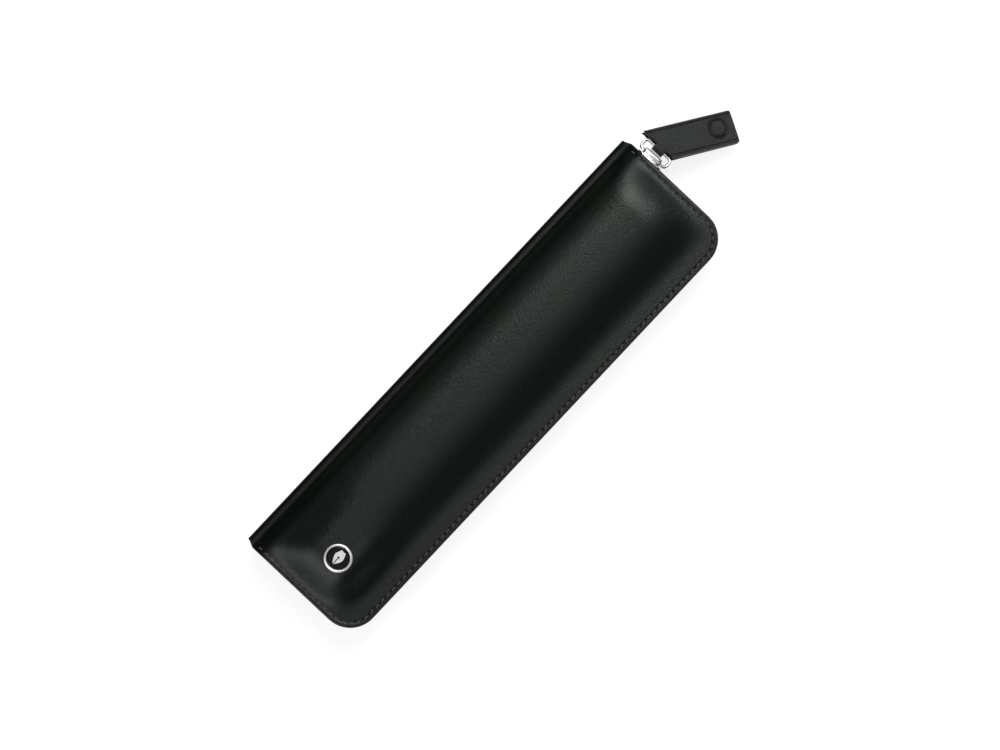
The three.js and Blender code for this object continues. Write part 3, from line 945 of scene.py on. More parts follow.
@dataclass
class CoverLeather:
    """The outer leather of one half, from the middle of the spine over the dome to the zip edge."""

    side: Side
    sizes: CaseSizes
    roll_radius: float = 1.7
    valley_depth: float = 0.5
    valley_place: float = 2.8
    valley_width: float = 1.0
    # Where shade is painted into the fold beside the spine and onto the spine wall, as distances from the
    # spine.
    crease_start: tuple[float, float] = (1.9, 2.6)
    crease_end: tuple[float, float] = (5.5, 9.0)
    wall_end: tuple[float, float] = (0.6, 2.4)
    spine_foot: float = 2.5
    ridge: float = 18.3
    arch_power: float = 2.6
    zip_lag: float = 1.45
    stiff_spine_run: float = 15.5
    stiff_zip_run: float = 11.4
    badge_reach: float = 13.0
    zip_foot: float = 5.6
    end_foot: float = 3.0
    end_run: float = 12.5
    end_power: float = 2.0
    end_ease: float = 1.6
    edge_round: float = 0.5
    groove_depth: float = 0.2
    groove_width: float = 0.28
    stitch_inset: float = SEAM_INSET
    spine_end_setback: float = 1.0
    thickness: float = 1.2

    def fullness(self, x: Points, y: Points) -> Points:
        """How far the pillow has risen at each place: 0 on the margins and 1 on the crown.

        Args:
            x: places across the case.
            y: places along it.

        Returns:
            The share of the rise. The front is a soft arch that flattens round the badge. The back
            keeps the badge's flatter shape all along.
        """
        s = self.sizes
        from_spine, from_zip, from_end = x + s.half_width, s.half_width - x, s.half_length - np.abs(y)
        left = np.clip((self.ridge - from_spine) / (self.ridge - self.spine_foot), 0, 1)
        fall = np.clip((from_spine - self.ridge) / (2 * s.half_width - self.ridge - self.zip_foot), 0, 1)
        arch = (1 - left ** self.arch_power) * (1 - smoothstep(fall ** self.zip_lag, 0.0, 1.0))
        stiff = smoothstep(from_spine, self.spine_foot, self.spine_foot + self.stiff_spine_run) * smoothstep(
            from_zip, self.zip_foot - 0.6, self.zip_foot + self.stiff_zip_run,
        )
        near_badge = np.exp(-((y - BADGE_Y) / self.badge_reach) ** 2) if self.side is Side.FRONT else 1.0
        across = arch + (stiff - arch) * near_badge
        past_foot = from_end - self.end_foot
        eased = (past_foot + np.hypot(past_foot, self.end_ease)) / 2
        return across * (1 - (1 - np.clip(eased / self.end_run, 0, 1)) ** self.end_power)

    def profile_height(self, x: Points, y: Points) -> Points:
        """Height of the leather's outside above the middle plane.

        Args:
            x: places across the case.
            y: places along it.

        Returns:
            The heights, before the edge is rounded over.
        """
        s = self.sizes
        height = s.margin + (s.crown - s.margin) * self.fullness(x, y)
        from_spine = x + s.half_width
        dip = np.exp(-((from_spine - self.valley_place) / self.valley_width) ** 2)
        reach = smoothstep(s.half_length - np.abs(y), 0.0, 6.0)
        return height - self.valley_depth * dip * (0.35 + 0.65 * reach)

    def outside(self) -> tuple[Points, Points, Points]:
        """Lays out the leather's outside.

        Returns:
            The grid of points, and for each its place along the seam and its inset from the edge.
        """
        s = self.sizes
        y_half = spaced([(0, 1.0), (s.half_length - 14, 0.6), (s.half_length - 4, 0.2), (s.half_length, 0.2)])
        y = np.concatenate([-y_half[:0:-1], y_half])
        wall_top = s.margin - self.roll_radius
        centre_x = -s.half_width + self.roll_radius
        wall = np.linspace(0, wall_top, 9)
        roll = np.linspace(0, math.pi / 2, 10)[1:]
        span = 2 * s.half_width - self.roll_radius
        share = spaced([(0.0, 0.5), (8.0, 0.9), (span - 4.2, 0.2), (span, 0.2)])[1:] / span
        rows = []
        for place in y:
            end = float(s.right_edge(np.array([place]))[0])
            x = centre_x + share * (end - centre_x)
            ys = np.full(len(x), place)
            top = self.profile_height(x, ys)
            side_x = np.full(len(wall), -s.half_width)
            arc_x = centre_x - self.roll_radius * np.cos(roll)
            arc_z = wall_top + self.roll_radius * np.sin(roll)
            arc_z = arc_z + (top[0] - s.margin) * np.sin(roll)
            row_x = np.concatenate([side_x, arc_x, x])
            row_z = np.concatenate([wall, arc_z, top])
            rows.append(np.column_stack([row_x, np.full(len(row_x), place), row_z]))
        grid = np.array(rows)
        return self._finish_edges(grid)

    def _finish_edges(self, grid: Points) -> tuple[Points, Points, Points]:
        """Rounds the sewn edge over, presses the stitch groove, and pulls the spine's ends in.

        Args:
            grid: the outside's points.

        Returns:
            The finished grid, and for each point its place along the seam and its inset.
        """
        s = self.sizes
        x, y, z = grid[..., 0], grid[..., 1], grid[..., 2]
        inset = s.inset(x, y)
        along = s.seam_place(x, y, self.stitch_inset)
        sewn = smoothstep(x + s.half_width, 3.0, 4.6)
        low = np.clip(self.edge_round - inset, 0, self.edge_round)
        z = z - (self.edge_round - np.sqrt(np.maximum(self.edge_round ** 2 - low ** 2, 0)))
        groove = np.exp(-((inset - self.stitch_inset) / self.groove_width) ** 2) * sewn
        z = z - self.groove_depth * groove
        on_spine = 1 - smoothstep(x + s.half_width, 0.3, 3.2)
        pull = self.spine_end_setback * on_spine * smoothstep(np.abs(y), s.half_length - 6, s.half_length)
        y = y - np.sign(y) * pull
        grid = np.stack([x, y, z], -1)
        grid[..., 2] = s.middle + self.side.value * grid[..., 2]
        inset = np.where(x + s.half_width < 3.0, 9.0, inset)
        return grid, along, inset

    def build(self) -> bpy.types.Object:
        """Makes the leather with its thickness, its seam map and its crease attribute, which marks where
        shade is painted in: the fold beside the spine and the spine wall.

        Returns:
            The leather.
        """
        grid, along, inset = self.outside()
        rows, cols = grid.shape[:2]
        faces = grid_faces(rows, cols)
        leather = make_object(f"{self.side.label}_leather", grid.reshape(-1, 3), faces, FINISHES["case"])
        # Painted shade: the crease attribute is 1 in the fold beside the spine and on the spine wall and its
        # roll, where the leather's shader dims the shine to stand in for the shade that falls there.
        crease = leather.data.attributes.new("crease", "FLOAT", "POINT")
        from_spine = grid[..., 0].ravel() + self.sizes.half_width
        folded = smoothstep(from_spine, *self.crease_start) * (1 - smoothstep(from_spine, *self.crease_end))
        wall = 1 - smoothstep(from_spine, *self.wall_end)
        crease.data.foreach_set("value", np.maximum(folded, wall).astype(np.float32))
        seam = leather.data.uv_layers.new(name="seam")
        values = np.column_stack([along.ravel(), inset.ravel()])
        corners = np.zeros(len(leather.data.loops), int)
        leather.data.loops.foreach_get("vertex_index", corners)
        seam.data.foreach_set("uv", values[corners].astype(np.float32).ravel())
        work = bmesh.new()
        work.from_mesh(leather.data)
        outwards = sum(f.normal.z * f.calc_area() for f in work.faces) * self.side.value
        if outwards < 0:
            bmesh.ops.reverse_faces(work, faces=work.faces)
        work.to_mesh(leather.data)
        work.free()
        skin = leather.modifiers.new("thickness", "SOLIDIFY")
        skin.thickness = self.thickness * MM
        skin.offset = -1
        skin.use_even_offset = True
        skin.use_rim = True
        leather = bake_modifiers(leather)
        shade(leather.data)
        return leather

    def join_spine(self, leather: bpy.types.Object) -> None:
        """Bakes the leather's placement into its mesh and stands it in for the CAD covers.

        Args:
            leather: the finished sheet.
        """
        if self.side is Side.FRONT:
            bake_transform(leather)
            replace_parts(leather, "front_cover")
        else:
            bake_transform(leather)
            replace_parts(leather, "back_cover", "spine_cover")


@dataclass
class InnerSkin:
    """A thin sheet inside one half that follows the arch of its cover: the lining or the stiffener."""

    cover: CoverLeather
    node: str
    finish: str
    slot: str
    foot: float
    top: float
    wall: float
    across: int = 64

    @classmethod
    def lining(cls, cover: CoverLeather) -> "InnerSkin":
        """The lining, from the margins under the zip tape up into the crown.

        Args:
            cover: the leather that it follows.

        Returns:
            The lining's sheet.
        """
        node = f"{cover.side.label}_lining"
        levels = [abs(corner[2] - cover.sizes.middle) for corner in node_box(node)]
        return cls(cover, node, "lining", "lining_leather", min(levels) + 0.5, max(levels), 0.5)

    @classmethod
    def board(cls, cover: CoverLeather) -> "InnerSkin":
        """The fibre board between the leather and the lining of the crown.

        Args:
            cover: the leather that it follows.

        Returns:
            The board's sheet.
        """
        node = f"{cover.side.label}_board"
        levels = [abs(corner[2] - cover.sizes.middle) for corner in node_box(node)]
        foot = cover.sizes.margin_inner - cover.sizes.leather / 4
        return cls(cover, node, "board", "stiffener_board", foot, max(levels), 0.6, 40)

    def build(self) -> bpy.types.Object:
        """Makes the sheet within the CAD node's outline.

        Returns:
            The sheet.
        """
        s, side = self.cover.sizes, self.cover.side
        low, high = node_box(self.node)
        outline_inset = s.half_width - high[0]
        reach = high[1]
        y_half = spaced([(0, 1.2), (max(reach - 14, 1), 0.7), (reach, 0.7)])
        y = np.concatenate([-y_half[:0:-1], y_half])
        grid = []
        for place in y:
            edge = float(s.right_edge(np.array([abs(place) * s.half_length / reach]))[0])
            end = edge - outline_inset if outline_inset < s.corner else high[0]
            x = np.linspace(low[0], end, self.across)
            ys = np.full(len(x), place)
            rise = self.cover.fullness(x, ys)
            grid.append(np.column_stack([x, ys, self.foot + (self.top - self.foot) * rise]))
        outer = np.array(grid)
        inner = outer - np.array([0, 0, self.wall])
        for sheet in (outer, inner):
            sheet[..., 2] = s.middle + side.value * sheet[..., 2]
        verts, faces = shell(outer, inner)
        skin = make_object(f"{self.node}_sheet", verts, faces, FINISHES[self.finish])
        return finish_piece(skin, side.label, self.slot, self.node)


def one_stitch(length: float, radius: float, up: int) -> bpy.types.Object:
    """Makes one stitch: a short length of thread, full in the middle and pulled down at both ends.

    Args:
        length: from needle hole to needle hole.
        radius: of the thread.
        up: 1 when the stitch shows from above, -1 from below.

    Returns:
        The stitch, about the origin, with its length along X.
    """
    sides, places = 8, np.linspace(-1, 1, 9)
    swell = np.sqrt(np.clip(1.04 - places ** 4, 0.02, 1))
    ring = ring_section(radius, sides, 0.8)
    verts = np.concatenate([
        np.column_stack([
            np.full(sides, x * length / 2), ring[:, 0] * w, up * (ring[:, 1] * w + 0.1 - 0.22 * x * x),
        ]) for x, w in zip(places, swell)
    ])
    faces = grid_faces(len(places), sides, wrap=True)
    faces += [tuple(range(sides))[::-1], tuple(range(len(verts) - sides, len(verts)))]
    return tidy(make_object("one stitch", verts, faces, FINISHES["thread"]))


@dataclass
class SewnMargin:
    """What runs round the three open sides of one half: thread, zip tape, teeth and the end stops."""

    side: Side
    sizes: CaseSizes
    repeat: RepeatAlongPath
    stitch_inset: float = SEAM_INSET
    stitch_length: float = 1.55
    thread_radius: float = 0.23
    stitch_slant: float = 0.2
    tooth_pitch: float = 2.9
    tooth_width: float = 1.3
    cord_inset: float = 0.85
    parted_reach: float = 0.4
    meshed_reach: float = -0.3
    parted_until: float = 9.0

    def build(self) -> None:
        """Makes every piece on this half's margin."""
        self.thread()
        self.tape()
        self.teeth()
        self.top_stop()

    def level(self, path: Points, height: float) -> Points:
        """Lifts a middle-plane path to a height on this half.

        Args:
            path: the path's points.
            height: the height above the middle plane, outwards.

        Returns:
            The lifted path.
        """
        lifted = path.copy()
        lifted[:, 2] += self.side.value * height
        return lifted

    def thread(self) -> bpy.types.Object:
        """Lays one slanted stitch between each two needle holes.

        Returns:
            The row of stitches.
        """
        s = self.sizes
        pitch, count = s.stitch_pitch(self.stitch_inset)
        path = s.seam_path(self.stitch_inset, s.sewn_from_spine + pitch / 2)
        item = one_stitch(self.stitch_length, self.thread_radius, self.side.value)
        height = s.margin - 0.12
        thread = self.repeat.lay(
            f"{self.side.label}_stitches", self.level(path, height), item, count,
            FINISHES["thread"], slant=self.side.value * self.stitch_slant, wobble=0.05,
        )
        bpy.data.objects.remove(item)
        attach(thread, self.side.label)
        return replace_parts(thread, f"{self.side.label}_stitching")

    def tape(self) -> bpy.types.Object:
        """Folds the zip tape in an L: flat under the leather, its edge turned to the teeth.

        Returns:
            The tape.
        """
        s = self.sizes
        low, high = node_box(f"{self.side.label}_zip_tape")
        near, far = sorted(abs(z - s.middle) for z in (low[2], high[2]))
        inset, width, cloth = s.half_width - high[0], 4.6, 0.5
        path = s.seam_path(inset, low[0] + s.half_width)
        section = np.array([
            (0, near + 0.1), (0, far - 0.15), (-0.15, far), (-width + 0.1, far), (-width, far - 0.1),
            (-width, far - cloth + 0.1), (-width + 0.1, far - cloth), (-cloth - 0.15, far - cloth),
            (-cloth, far - cloth - 0.15), (-cloth, near + 0.1), (-cloth + 0.12, near), (-0.12, near),
        ])
        section[:, 1] *= self.side.value
        verts, faces = sweep(path, section, closed=False)
        tape = make_object(f"{self.side.label}_tape", verts, faces, FINISHES["tape"])
        return finish_piece(tape, self.side.label, "zip_tape", f"{self.side.label}_zip_tape")

    def tooth(self, reach: float) -> bpy.types.Object:
        """Makes one stamped tooth, long to a height above the middle plane.

        Args:
            reach: height of its tip, below zero when it passes the middle plane.

        Returns:
            The tooth, about the origin, with its width along X.
        """
        s = self.sizes
        low, high = node_box(f"{self.side.label}_zip_teeth")
        root = max(abs(low[2] - s.middle), abs(high[2] - s.middle)) - 0.45
        deep, drawn_half, corners = 1.7, 0.65, 8
        half = self.tooth_width / 2
        profile = [
            (reach, 0.24, 0.30), (reach + 0.10, 0.36, 0.42), (reach + 0.45, 0.40, 0.46),
            (reach + 0.75, 0.30, 0.44), (root - 0.25, 0.62, 0.5), (root, 0.62, 0.5),
        ]
        rings = [
            np.column_stack([
                rounded_rectangle(2 * w * half / drawn_half, 2 * d * deep, 0.12, corners // 4),
                np.full(corners, self.side.value * z),
            ]) for z, w, d in profile
        ]
        verts = np.concatenate(rings)
        faces = grid_faces(len(rings), corners, wrap=True)
        faces += [tuple(range(corners)), tuple(range(len(verts) - corners, len(verts)))]
        return tidy(make_object("one tooth", verts, faces, FINISHES["zip"]))

    def teeth(self) -> None:
        """Sets the row of teeth: parted along the slider's run, meshed with the other row beyond it."""
        s = self.sizes
        low, high = node_box(f"{self.side.label}_zip_teeth")
        inset = s.half_width - high[0] + self.cord_inset
        half_pitch = 0 if self.side is Side.FRONT else self.tooth_pitch / 2
        whole = s.seam_path(inset, low[0] + s.half_width + 0.9 + half_pitch)
        steps = np.linalg.norm(np.diff(whole, axis=0), axis=1)
        along = np.concatenate([[0], np.cumsum(steps)])
        count = int((along[-1] - 0.3) // self.tooth_pitch) + 1
        parted = int((self.parted_until - whole[0, 0]) // self.tooth_pitch) + 1
        stretches = (("parted", 0, parted, self.parted_reach), ("meshed", parted, count, self.meshed_reach))
        for name, first, last, reach in stretches:
            marks = np.arange(first, last) * self.tooth_pitch
            inside = along[(along > marks[0]) & (along < marks[-1])]
            places = np.concatenate([[marks[0]], inside, [marks[-1]]])
            path = np.column_stack([np.interp(places, along, whole[:, i]) for i in range(3)])
            item = self.tooth(reach)
            row = self.repeat.lay(
                f"{self.side.label}_teeth_{name}", path, item, last - first, FINISHES["zip"],
            )
            bpy.data.objects.remove(item)
            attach(row, self.side.label)
            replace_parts(row, f"{self.side.label}_zip_teeth")
        self._bead(low, high)

    def _bead(self, low: Points, high: Points) -> None:
        """Runs the corded edge of the tape that the teeth are clamped on.

        Args:
            low: lowest corner of the CAD teeth.
            high: their highest corner.
        """
        s = self.sizes
        root = max(abs(low[2] - s.middle), abs(high[2] - s.middle))
        path = s.seam_path(s.half_width - high[0] + self.cord_inset, low[0] + s.half_width)
        cord = ring_section(0.4, 10, 0.6)
        cord[:, 1] = self.side.value * (root - 0.26 + cord[:, 1])
        verts, faces = sweep(path, cord, closed=False)
        bead = make_object(f"{self.side.label}_tape_cord", verts, faces, FINISHES["tape"])
        finish_piece(bead, self.side.label, "zip_tape")

    def top_stop(self) -> bpy.types.Object:
        """Makes the clamp that keeps the slider on this row."""
        name = f"{self.side.label}_zip_top_stop"
        return clamp(f"{self.side.label}_top_clamp", name, self.side.label)


def clamp(name: str, node: str, body: str) -> bpy.types.Object:
    """Makes a folded metal clamp in the room of a CAD stop.

    Args:
        name: the new piece's name.
        node: the CAD node that it stands for.
        body: the body that it rides on.

    Returns:
        The clamp.
    """
    low, high = node_box(node)
    size, centre = high - low, (high + low) / 2
    outline = rounded_rectangle(size[0], size[1], 0.25, 4)
    verts, faces = slab(outline, low[2] - centre[2], high[2] - centre[2], 0.18)
    ridge = 1 + 0.12 * np.cos(verts[:, 2] / size[2] * math.tau * 1.5)
    verts[:, 0] *= np.minimum(ridge, 1.0)
    return finish_piece(make_object(name, verts + centre, faces, FINISHES["zip"]), body, "zip_metal", node)


# ---- Badge ----


@dataclass
class Badge:
    """The round badge: a satin nickel ring, a black enamel ground and a plain raised pen nib."""

    ring_round: float = 0.16
    ground_dome: float = 0.08
    slit: float = 0.1
    hole: float = 0.33

    def build(self) -> None:
        """Makes the ring, the ground and the nib."""
        low, high = node_box("badge_bezel")
        centre = (low + high) / 2 * np.array([1, 1, 0])
        outer = (high[0] - low[0]) / 2
        inner = (node_box("badge_inlay")[1][0] - node_box("badge_inlay")[0][0]) / 2 + 0.28
        self._ring(centre, outer, inner, low[2], high[2])
        self._ground(centre, inner - 0.02, low[2])
        self._nib(centre)

    def _ring(self, centre: Points, outer: float, inner: float, low: float, high: float) -> None:
        """Turns the ring, its face rounded over so that it shines all the way round.

        Args:
            centre: the badge's centre.
            outer: the ring's outer radius.
            inner: its inner radius.
            low: height of its underside.
            high: height of its face.
        """
        middle, half = (outer + inner) / 2, (outer - inner) / 2
        face = [
            (middle + half * math.cos(a), high - 0.42 + 0.42 * math.sin(a))
            for a in np.linspace(0, math.pi, 13)
        ]
        verts, faces = lathe(np.array([(inner, low), (outer, low), *face]), 96)
        ring = make_object("badge_ring", verts + centre, faces, FINISHES["satin"])
        finish_piece(ring, "front", "polished_metal", "badge_bezel")

    def _ground(self, centre: Points, radius: float, low: float) -> None:
        """Turns the enamel ground with its slightly domed top.

        Args:
            centre: the badge's centre.
            radius: of the ground.
            low: height of its underside.
        """
        top = node_box("badge_inlay")[1][2] - 0.05
        rings = [(r, top + self.ground_dome * (1 - (r / radius) ** 2)) for r in np.linspace(0.05, radius, 12)]
        verts, faces = lathe(np.array([(0.05, low), (radius, low), *rings[::-1]]), 64, closed=False)
        ground = make_object("badge_ground", verts + centre, faces, FINISHES["enamel"])
        finish_piece(ground, "front", "black_enamel", "badge_inlay")

    def _nib(self, centre: Points) -> None:
        """Cuts the nib: curved shoulders, a slit up from the point and a breather hole.

        Args:
            centre: the badge's centre.
        """
        low, high = node_box("badge_emblem")
        half, top = (high[0] - low[0]) / 2, (high[1] - low[1]) / 2
        t = np.linspace(0.02, 1, 12)
        curve_x = 2 * (1 - t) * t * half + t * t * half
        curve_y = -top * (1 - t) ** 2 - top / 2 * (1 - t) * t + t * t * top / 4
        shoulders = [(half * 0.62, top * 0.94), (half * 0.5, top)]
        right = list(zip(np.maximum(curve_x, self.slit), curve_y)) + shoulders
        left = [(-x, y) for x, y in reversed(right)]
        round_hole = [
            (self.hole * math.sin(a), self.hole * 0.8 - self.hole * math.cos(a))
            for a in np.linspace(-0.4, -math.tau + 0.4, 16)
        ]
        outline = np.array(right + left + round_hole)
        verts, faces = slab(outline, low[2], high[2] - 0.02, 0.07, 2)
        nib = make_object("badge_nib", verts + centre, faces, FINISHES["satin"])
        shade(nib.data, smooth=False)
        finish_piece(nib, "front", "polished_metal", "badge_emblem")


# ---- Slider, link and tab ----


@dataclass
class ZipSlider:
    """The cast slider: an outer and an inner shield on a neck, and the hood that holds the link."""

    hood_swell: float = 0.4
    hood_end: float = 1.05
    bore: float = 0.72
    cast_edge: float = 0.22

    def build(self) -> None:
        """Makes the slider's body and its hood."""
        low, high = node_box("slider_body")
        shield = self._shield(high[0] - low[0], high[2] - low[2], 0.9)
        inner = self._shield(8.6, 3.3, 0.9)
        neck = slab(rounded_rectangle(3.0, 0.6, 0.28, 4), -1.6, 1.6, 0.05, 2)
        axes = [(1, 0, 0), (0, 0, 1), (0, 1, 0)]
        middle = (low + high) / 2
        spots = (
            (shield, high[1] - 0.9), (inner, low[1]), (neck, middle[1]),
        )
        solids = [
            (placed(verts, axes, (middle[0], y, middle[2])), faces) for (verts, faces), y in spots
        ]
        body = make_object("zip_slider", *joined(*solids), FINISHES["polished"])
        finish_piece(body, "slider", "polished_metal", "slider_body")
        self._hood()

    def _shield(self, length: float, width: float, thick: float) -> tuple[Points, Faces]:
        """One cast shield: blunt at the closing end and narrower at its tail.

        Args:
            length: of the shield.
            width: of the shield.
            thick: its thickness.

        Returns:
            Points and faces.
        """
        angles = np.linspace(0, math.tau, 56, endpoint=False)
        x = np.sign(np.cos(angles)) * np.abs(np.cos(angles)) ** 0.55 * length / 2
        z = np.sign(np.sin(angles)) * np.abs(np.sin(angles)) ** 0.55 * width / 2
        taper = 1 - 0.16 * smoothstep(-x, -length / 4, length / 2)
        return slab(np.column_stack([x, z * taper]), 0, thick, self.cast_edge, 4)

    def _hood(self) -> None:
        """Turns the hood over the link's pin, fullest past its middle."""
        low, high = node_box("slider_bridge")
        pin_y, middle = high[1] - (high[2] - low[2]) / 2, (low + high) / 2
        half, full = (high[0] - low[0]) / 2, (high[2] - low[2]) / 2
        x = half * np.sin(np.linspace(-math.pi / 2, math.pi / 2, 33))
        swell = np.sqrt(np.clip(1 - ((x - 1.1) / (half + 1.6)) ** 2, 0, 1))
        ends = np.sqrt(np.clip(1 - (np.abs(x) / half) ** 8, 0, 1))
        radius = self.bore + 0.06 + (self.hood_end + self.hood_swell * swell - self.bore - 0.06) * ends
        radius *= full / radius.max()
        profile = list(zip(radius, x)) + [(self.bore, half), (self.bore, -half)]
        verts, faces = lathe(np.array(profile), 48)
        verts = placed(verts, [(0, 1, 0), (0, 0, 1), (1, 0, 0)], (middle[0], pin_y, middle[2]))
        hood = make_object("slider_hood", verts, faces, FINISHES["polished"])
        finish_piece(hood, "slider", "polished_metal", "slider_bridge")


@dataclass
class PullGeometry:
    """Where the link and the tab lie: worked out from the joints' places."""

    pin: Points
    bar: Points
    turn: float = math.radians(30.4)
    table_gap: float = 0.15
    tab_half: float = 1.5
    length: float = 25.6
    width: float = 10.6
    shift: float = -1.3

    @classmethod
    def from_frame(cls) -> "PullGeometry":
        """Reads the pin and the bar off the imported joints.

        Returns:
            Where the link and the tab lie.
        """
        places = {joint["name"]: joint for joint in frame["joints"]}
        pin = np.array(places["link_swing"]["pos_m"]) / MM
        bar = np.array(places["tab_fold"]["pos_m"]) / MM
        return cls(pin, bar)

    @property
    def droop(self) -> float:
        """Angle of the link below the level."""
        return math.atan2(self.pin[2] - self.bar[2], self.bar[1] - self.pin[1])

    @property
    def slope(self) -> float:
        """Finds how far the tab slopes below the level, its far corner just above the table.

        Returns:
            The angle in radians.
        """
        far = self.length * math.cos(self.turn) + (self.width / 2 - self.shift) * math.sin(self.turn)
        drop = self.bar[2] - self.table_gap
        return math.asin(drop / math.hypot(far, self.tab_half)) - math.atan2(self.tab_half, far)

    @property
    def bar_axes(self) -> Points:
        """Axes that slope with the tab and stay square to the bar."""
        c, s = math.cos(self.slope), math.sin(self.slope)
        return np.array([(1, 0, 0), (0, c, -s), (0, s, c)])

    @property
    def tab_axes(self) -> Points:
        """Axes along the tab itself, turned on the bar."""
        c, s = math.cos(self.turn), math.sin(self.turn)
        return np.array([(c, -s, 0), (s, c, 0), (0, 0, 1)]) @ self.bar_axes


@dataclass
class PullLink:
    """The bent wire loop between the slider and the leather tab."""

    place: PullGeometry
    wire: float = 0.5
    width: float = 10.2
    corner: float = 1.2

    def build(self) -> None:
        """Sweeps round wire along a rounded rectangle."""
        depth = float(np.linalg.norm(self.place.bar - self.place.pin))
        outline = rounded_rectangle(self.width, depth, self.corner, 9) + np.array([0, depth / 2])
        sides = []
        for a, b in zip(outline, np.roll(outline, -1, 0)):
            steps = max(1, round(float(np.linalg.norm(b - a)) / 0.5))
            sides.append(a + (b - a) * np.linspace(0, 1, steps, endpoint=False)[:, None])
        flat = np.concatenate(sides)
        c, s = math.cos(self.place.droop), math.sin(self.place.droop)
        axes = np.array([(1, 0, 0), (0, c, -s), (0, s, c)])
        path = placed(np.column_stack([flat, np.zeros(len(flat))]), axes, self.place.pin)
        verts, faces = sweep(path, ring_section(self.wire, 20), closed=True, upright=tuple(axes[2]))
        link = make_object("pull_ring", verts, faces, FINISHES["polished"])
        finish_piece(link, "link", "polished_metal", "pull_link")


@dataclass
class PullTab:
    """The leather tab: two leaves round a core, creased along the edges, with a pressed button."""

    place: PullGeometry
    leaf: float = 0.7
    near_cut: float = 0.5
    corner: float = 0.8
    crease_inset: float = 1.0
    crease_depth: float = 0.24
    button: tuple[float, float] = (-1.75, 20.0)
    button_radius: float = 2.45
    ring_radius: float = 2.95
    ring_depth: float = 0.5
    button_rise: float = 0.7
    edge: float = 0.3
    tongue: float = 4.0

    def build(self) -> None:
        """Makes both leaves and the tongue round the link's bar as one piece."""
        p = self.place
        leaves = [self._leaf(+1), self._leaf(-1)]
        solids = [(placed(verts, p.tab_axes, p.bar), faces) for verts, faces in leaves]
        solids.append(self._tongue())
        tab = make_object("leather_tab", *joined(*solids), FINISHES["tab"])
        finish_piece(tab, "tab", "tab_leather", "pull_tab")

    def _leaf(self, up: int) -> tuple[Points, Faces]:
        """One leaf in the tab's own axes, its outside shaped and its inside lying on the core.

        Args:
            up: 1 for the upper leaf, -1 for the lower one.

        Returns:
            Points and faces.
        """
        p = self.place
        half = p.width / 2
        across = spaced([(-half, 0.08), (-half + 1.6, 0.15), (half - 1.6, 0.08), (half, 0.08)])
        over = np.clip(np.abs(across) - (half - self.corner), 0, self.corner)
        far = p.length - self.corner + np.sqrt(self.corner ** 2 - over ** 2)
        x = across + p.shift
        near = (self.near_cut + x * math.sin(p.turn)) / math.cos(p.turn)
        share = spaced([(0, 0.006), (0.08, 0.009), (0.95, 0.004), (1, 0.004)])
        grid_x = np.repeat(x[:, None], len(share), 1)
        grid_y = near[:, None] + share[None, :] * (far - near)[:, None]
        from_side = half - np.abs(grid_x - p.shift)
        from_ends = np.minimum(far[:, None] - grid_y, (grid_y - near[:, None]) * math.cos(p.turn))
        top = np.full_like(grid_x, p.tab_half)
        top -= 0.35 * smoothstep(grid_y, 2.0, p.length)
        top -= self.crease_depth * np.exp(-((from_side - self.crease_inset) / 0.2) ** 2)
        low = np.clip(self.edge - np.minimum(from_side, from_ends), 0, self.edge)
        top -= self.edge - np.sqrt(self.edge ** 2 - low ** 2)
        if up > 0:
            r = np.hypot(grid_x - self.button[0], grid_y - self.button[1])
            top -= self.ring_depth * np.exp(-((r - self.ring_radius) / 0.26) ** 2)
            top += self.button_rise * np.sqrt(np.clip(1 - (r / self.button_radius) ** 2, 0, 1))
        inside = 0.8 - 0.36 * smoothstep(grid_y * math.cos(p.turn) - grid_x * math.sin(p.turn), 1.6, 3.6)
        outer = np.stack([grid_x, grid_y, up * top], -1)
        inner = np.stack([grid_x, grid_y, up * np.minimum(inside, top - 0.2)], -1)
        return shell(outer, inner)

    def _tongue(self) -> tuple[Points, Faces]:
        """The narrow strip that folds round the bar and joins the two leaves.

        Returns:
            Points and faces.
        """
        p = self.place
        radius = p.tab_half - self.leaf / 2
        bend = np.linspace(math.pi / 2, math.pi * 1.5, 25)
        legs = self.near_cut + 1.6
        y = np.concatenate([[legs, legs / 2], radius * np.cos(bend), [legs / 2, legs]])
        z = np.concatenate([[radius, radius], radius * np.sin(bend), [-radius, -radius]])
        path = placed(np.column_stack([np.zeros(len(y)), y, z]), p.bar_axes, p.bar)
        section = rounded_rectangle(self.leaf - 0.08, self.tongue, 0.22, 4)
        return sweep(path, section, closed=False, upright=(1, 0, 0))


# ---- Inside ----


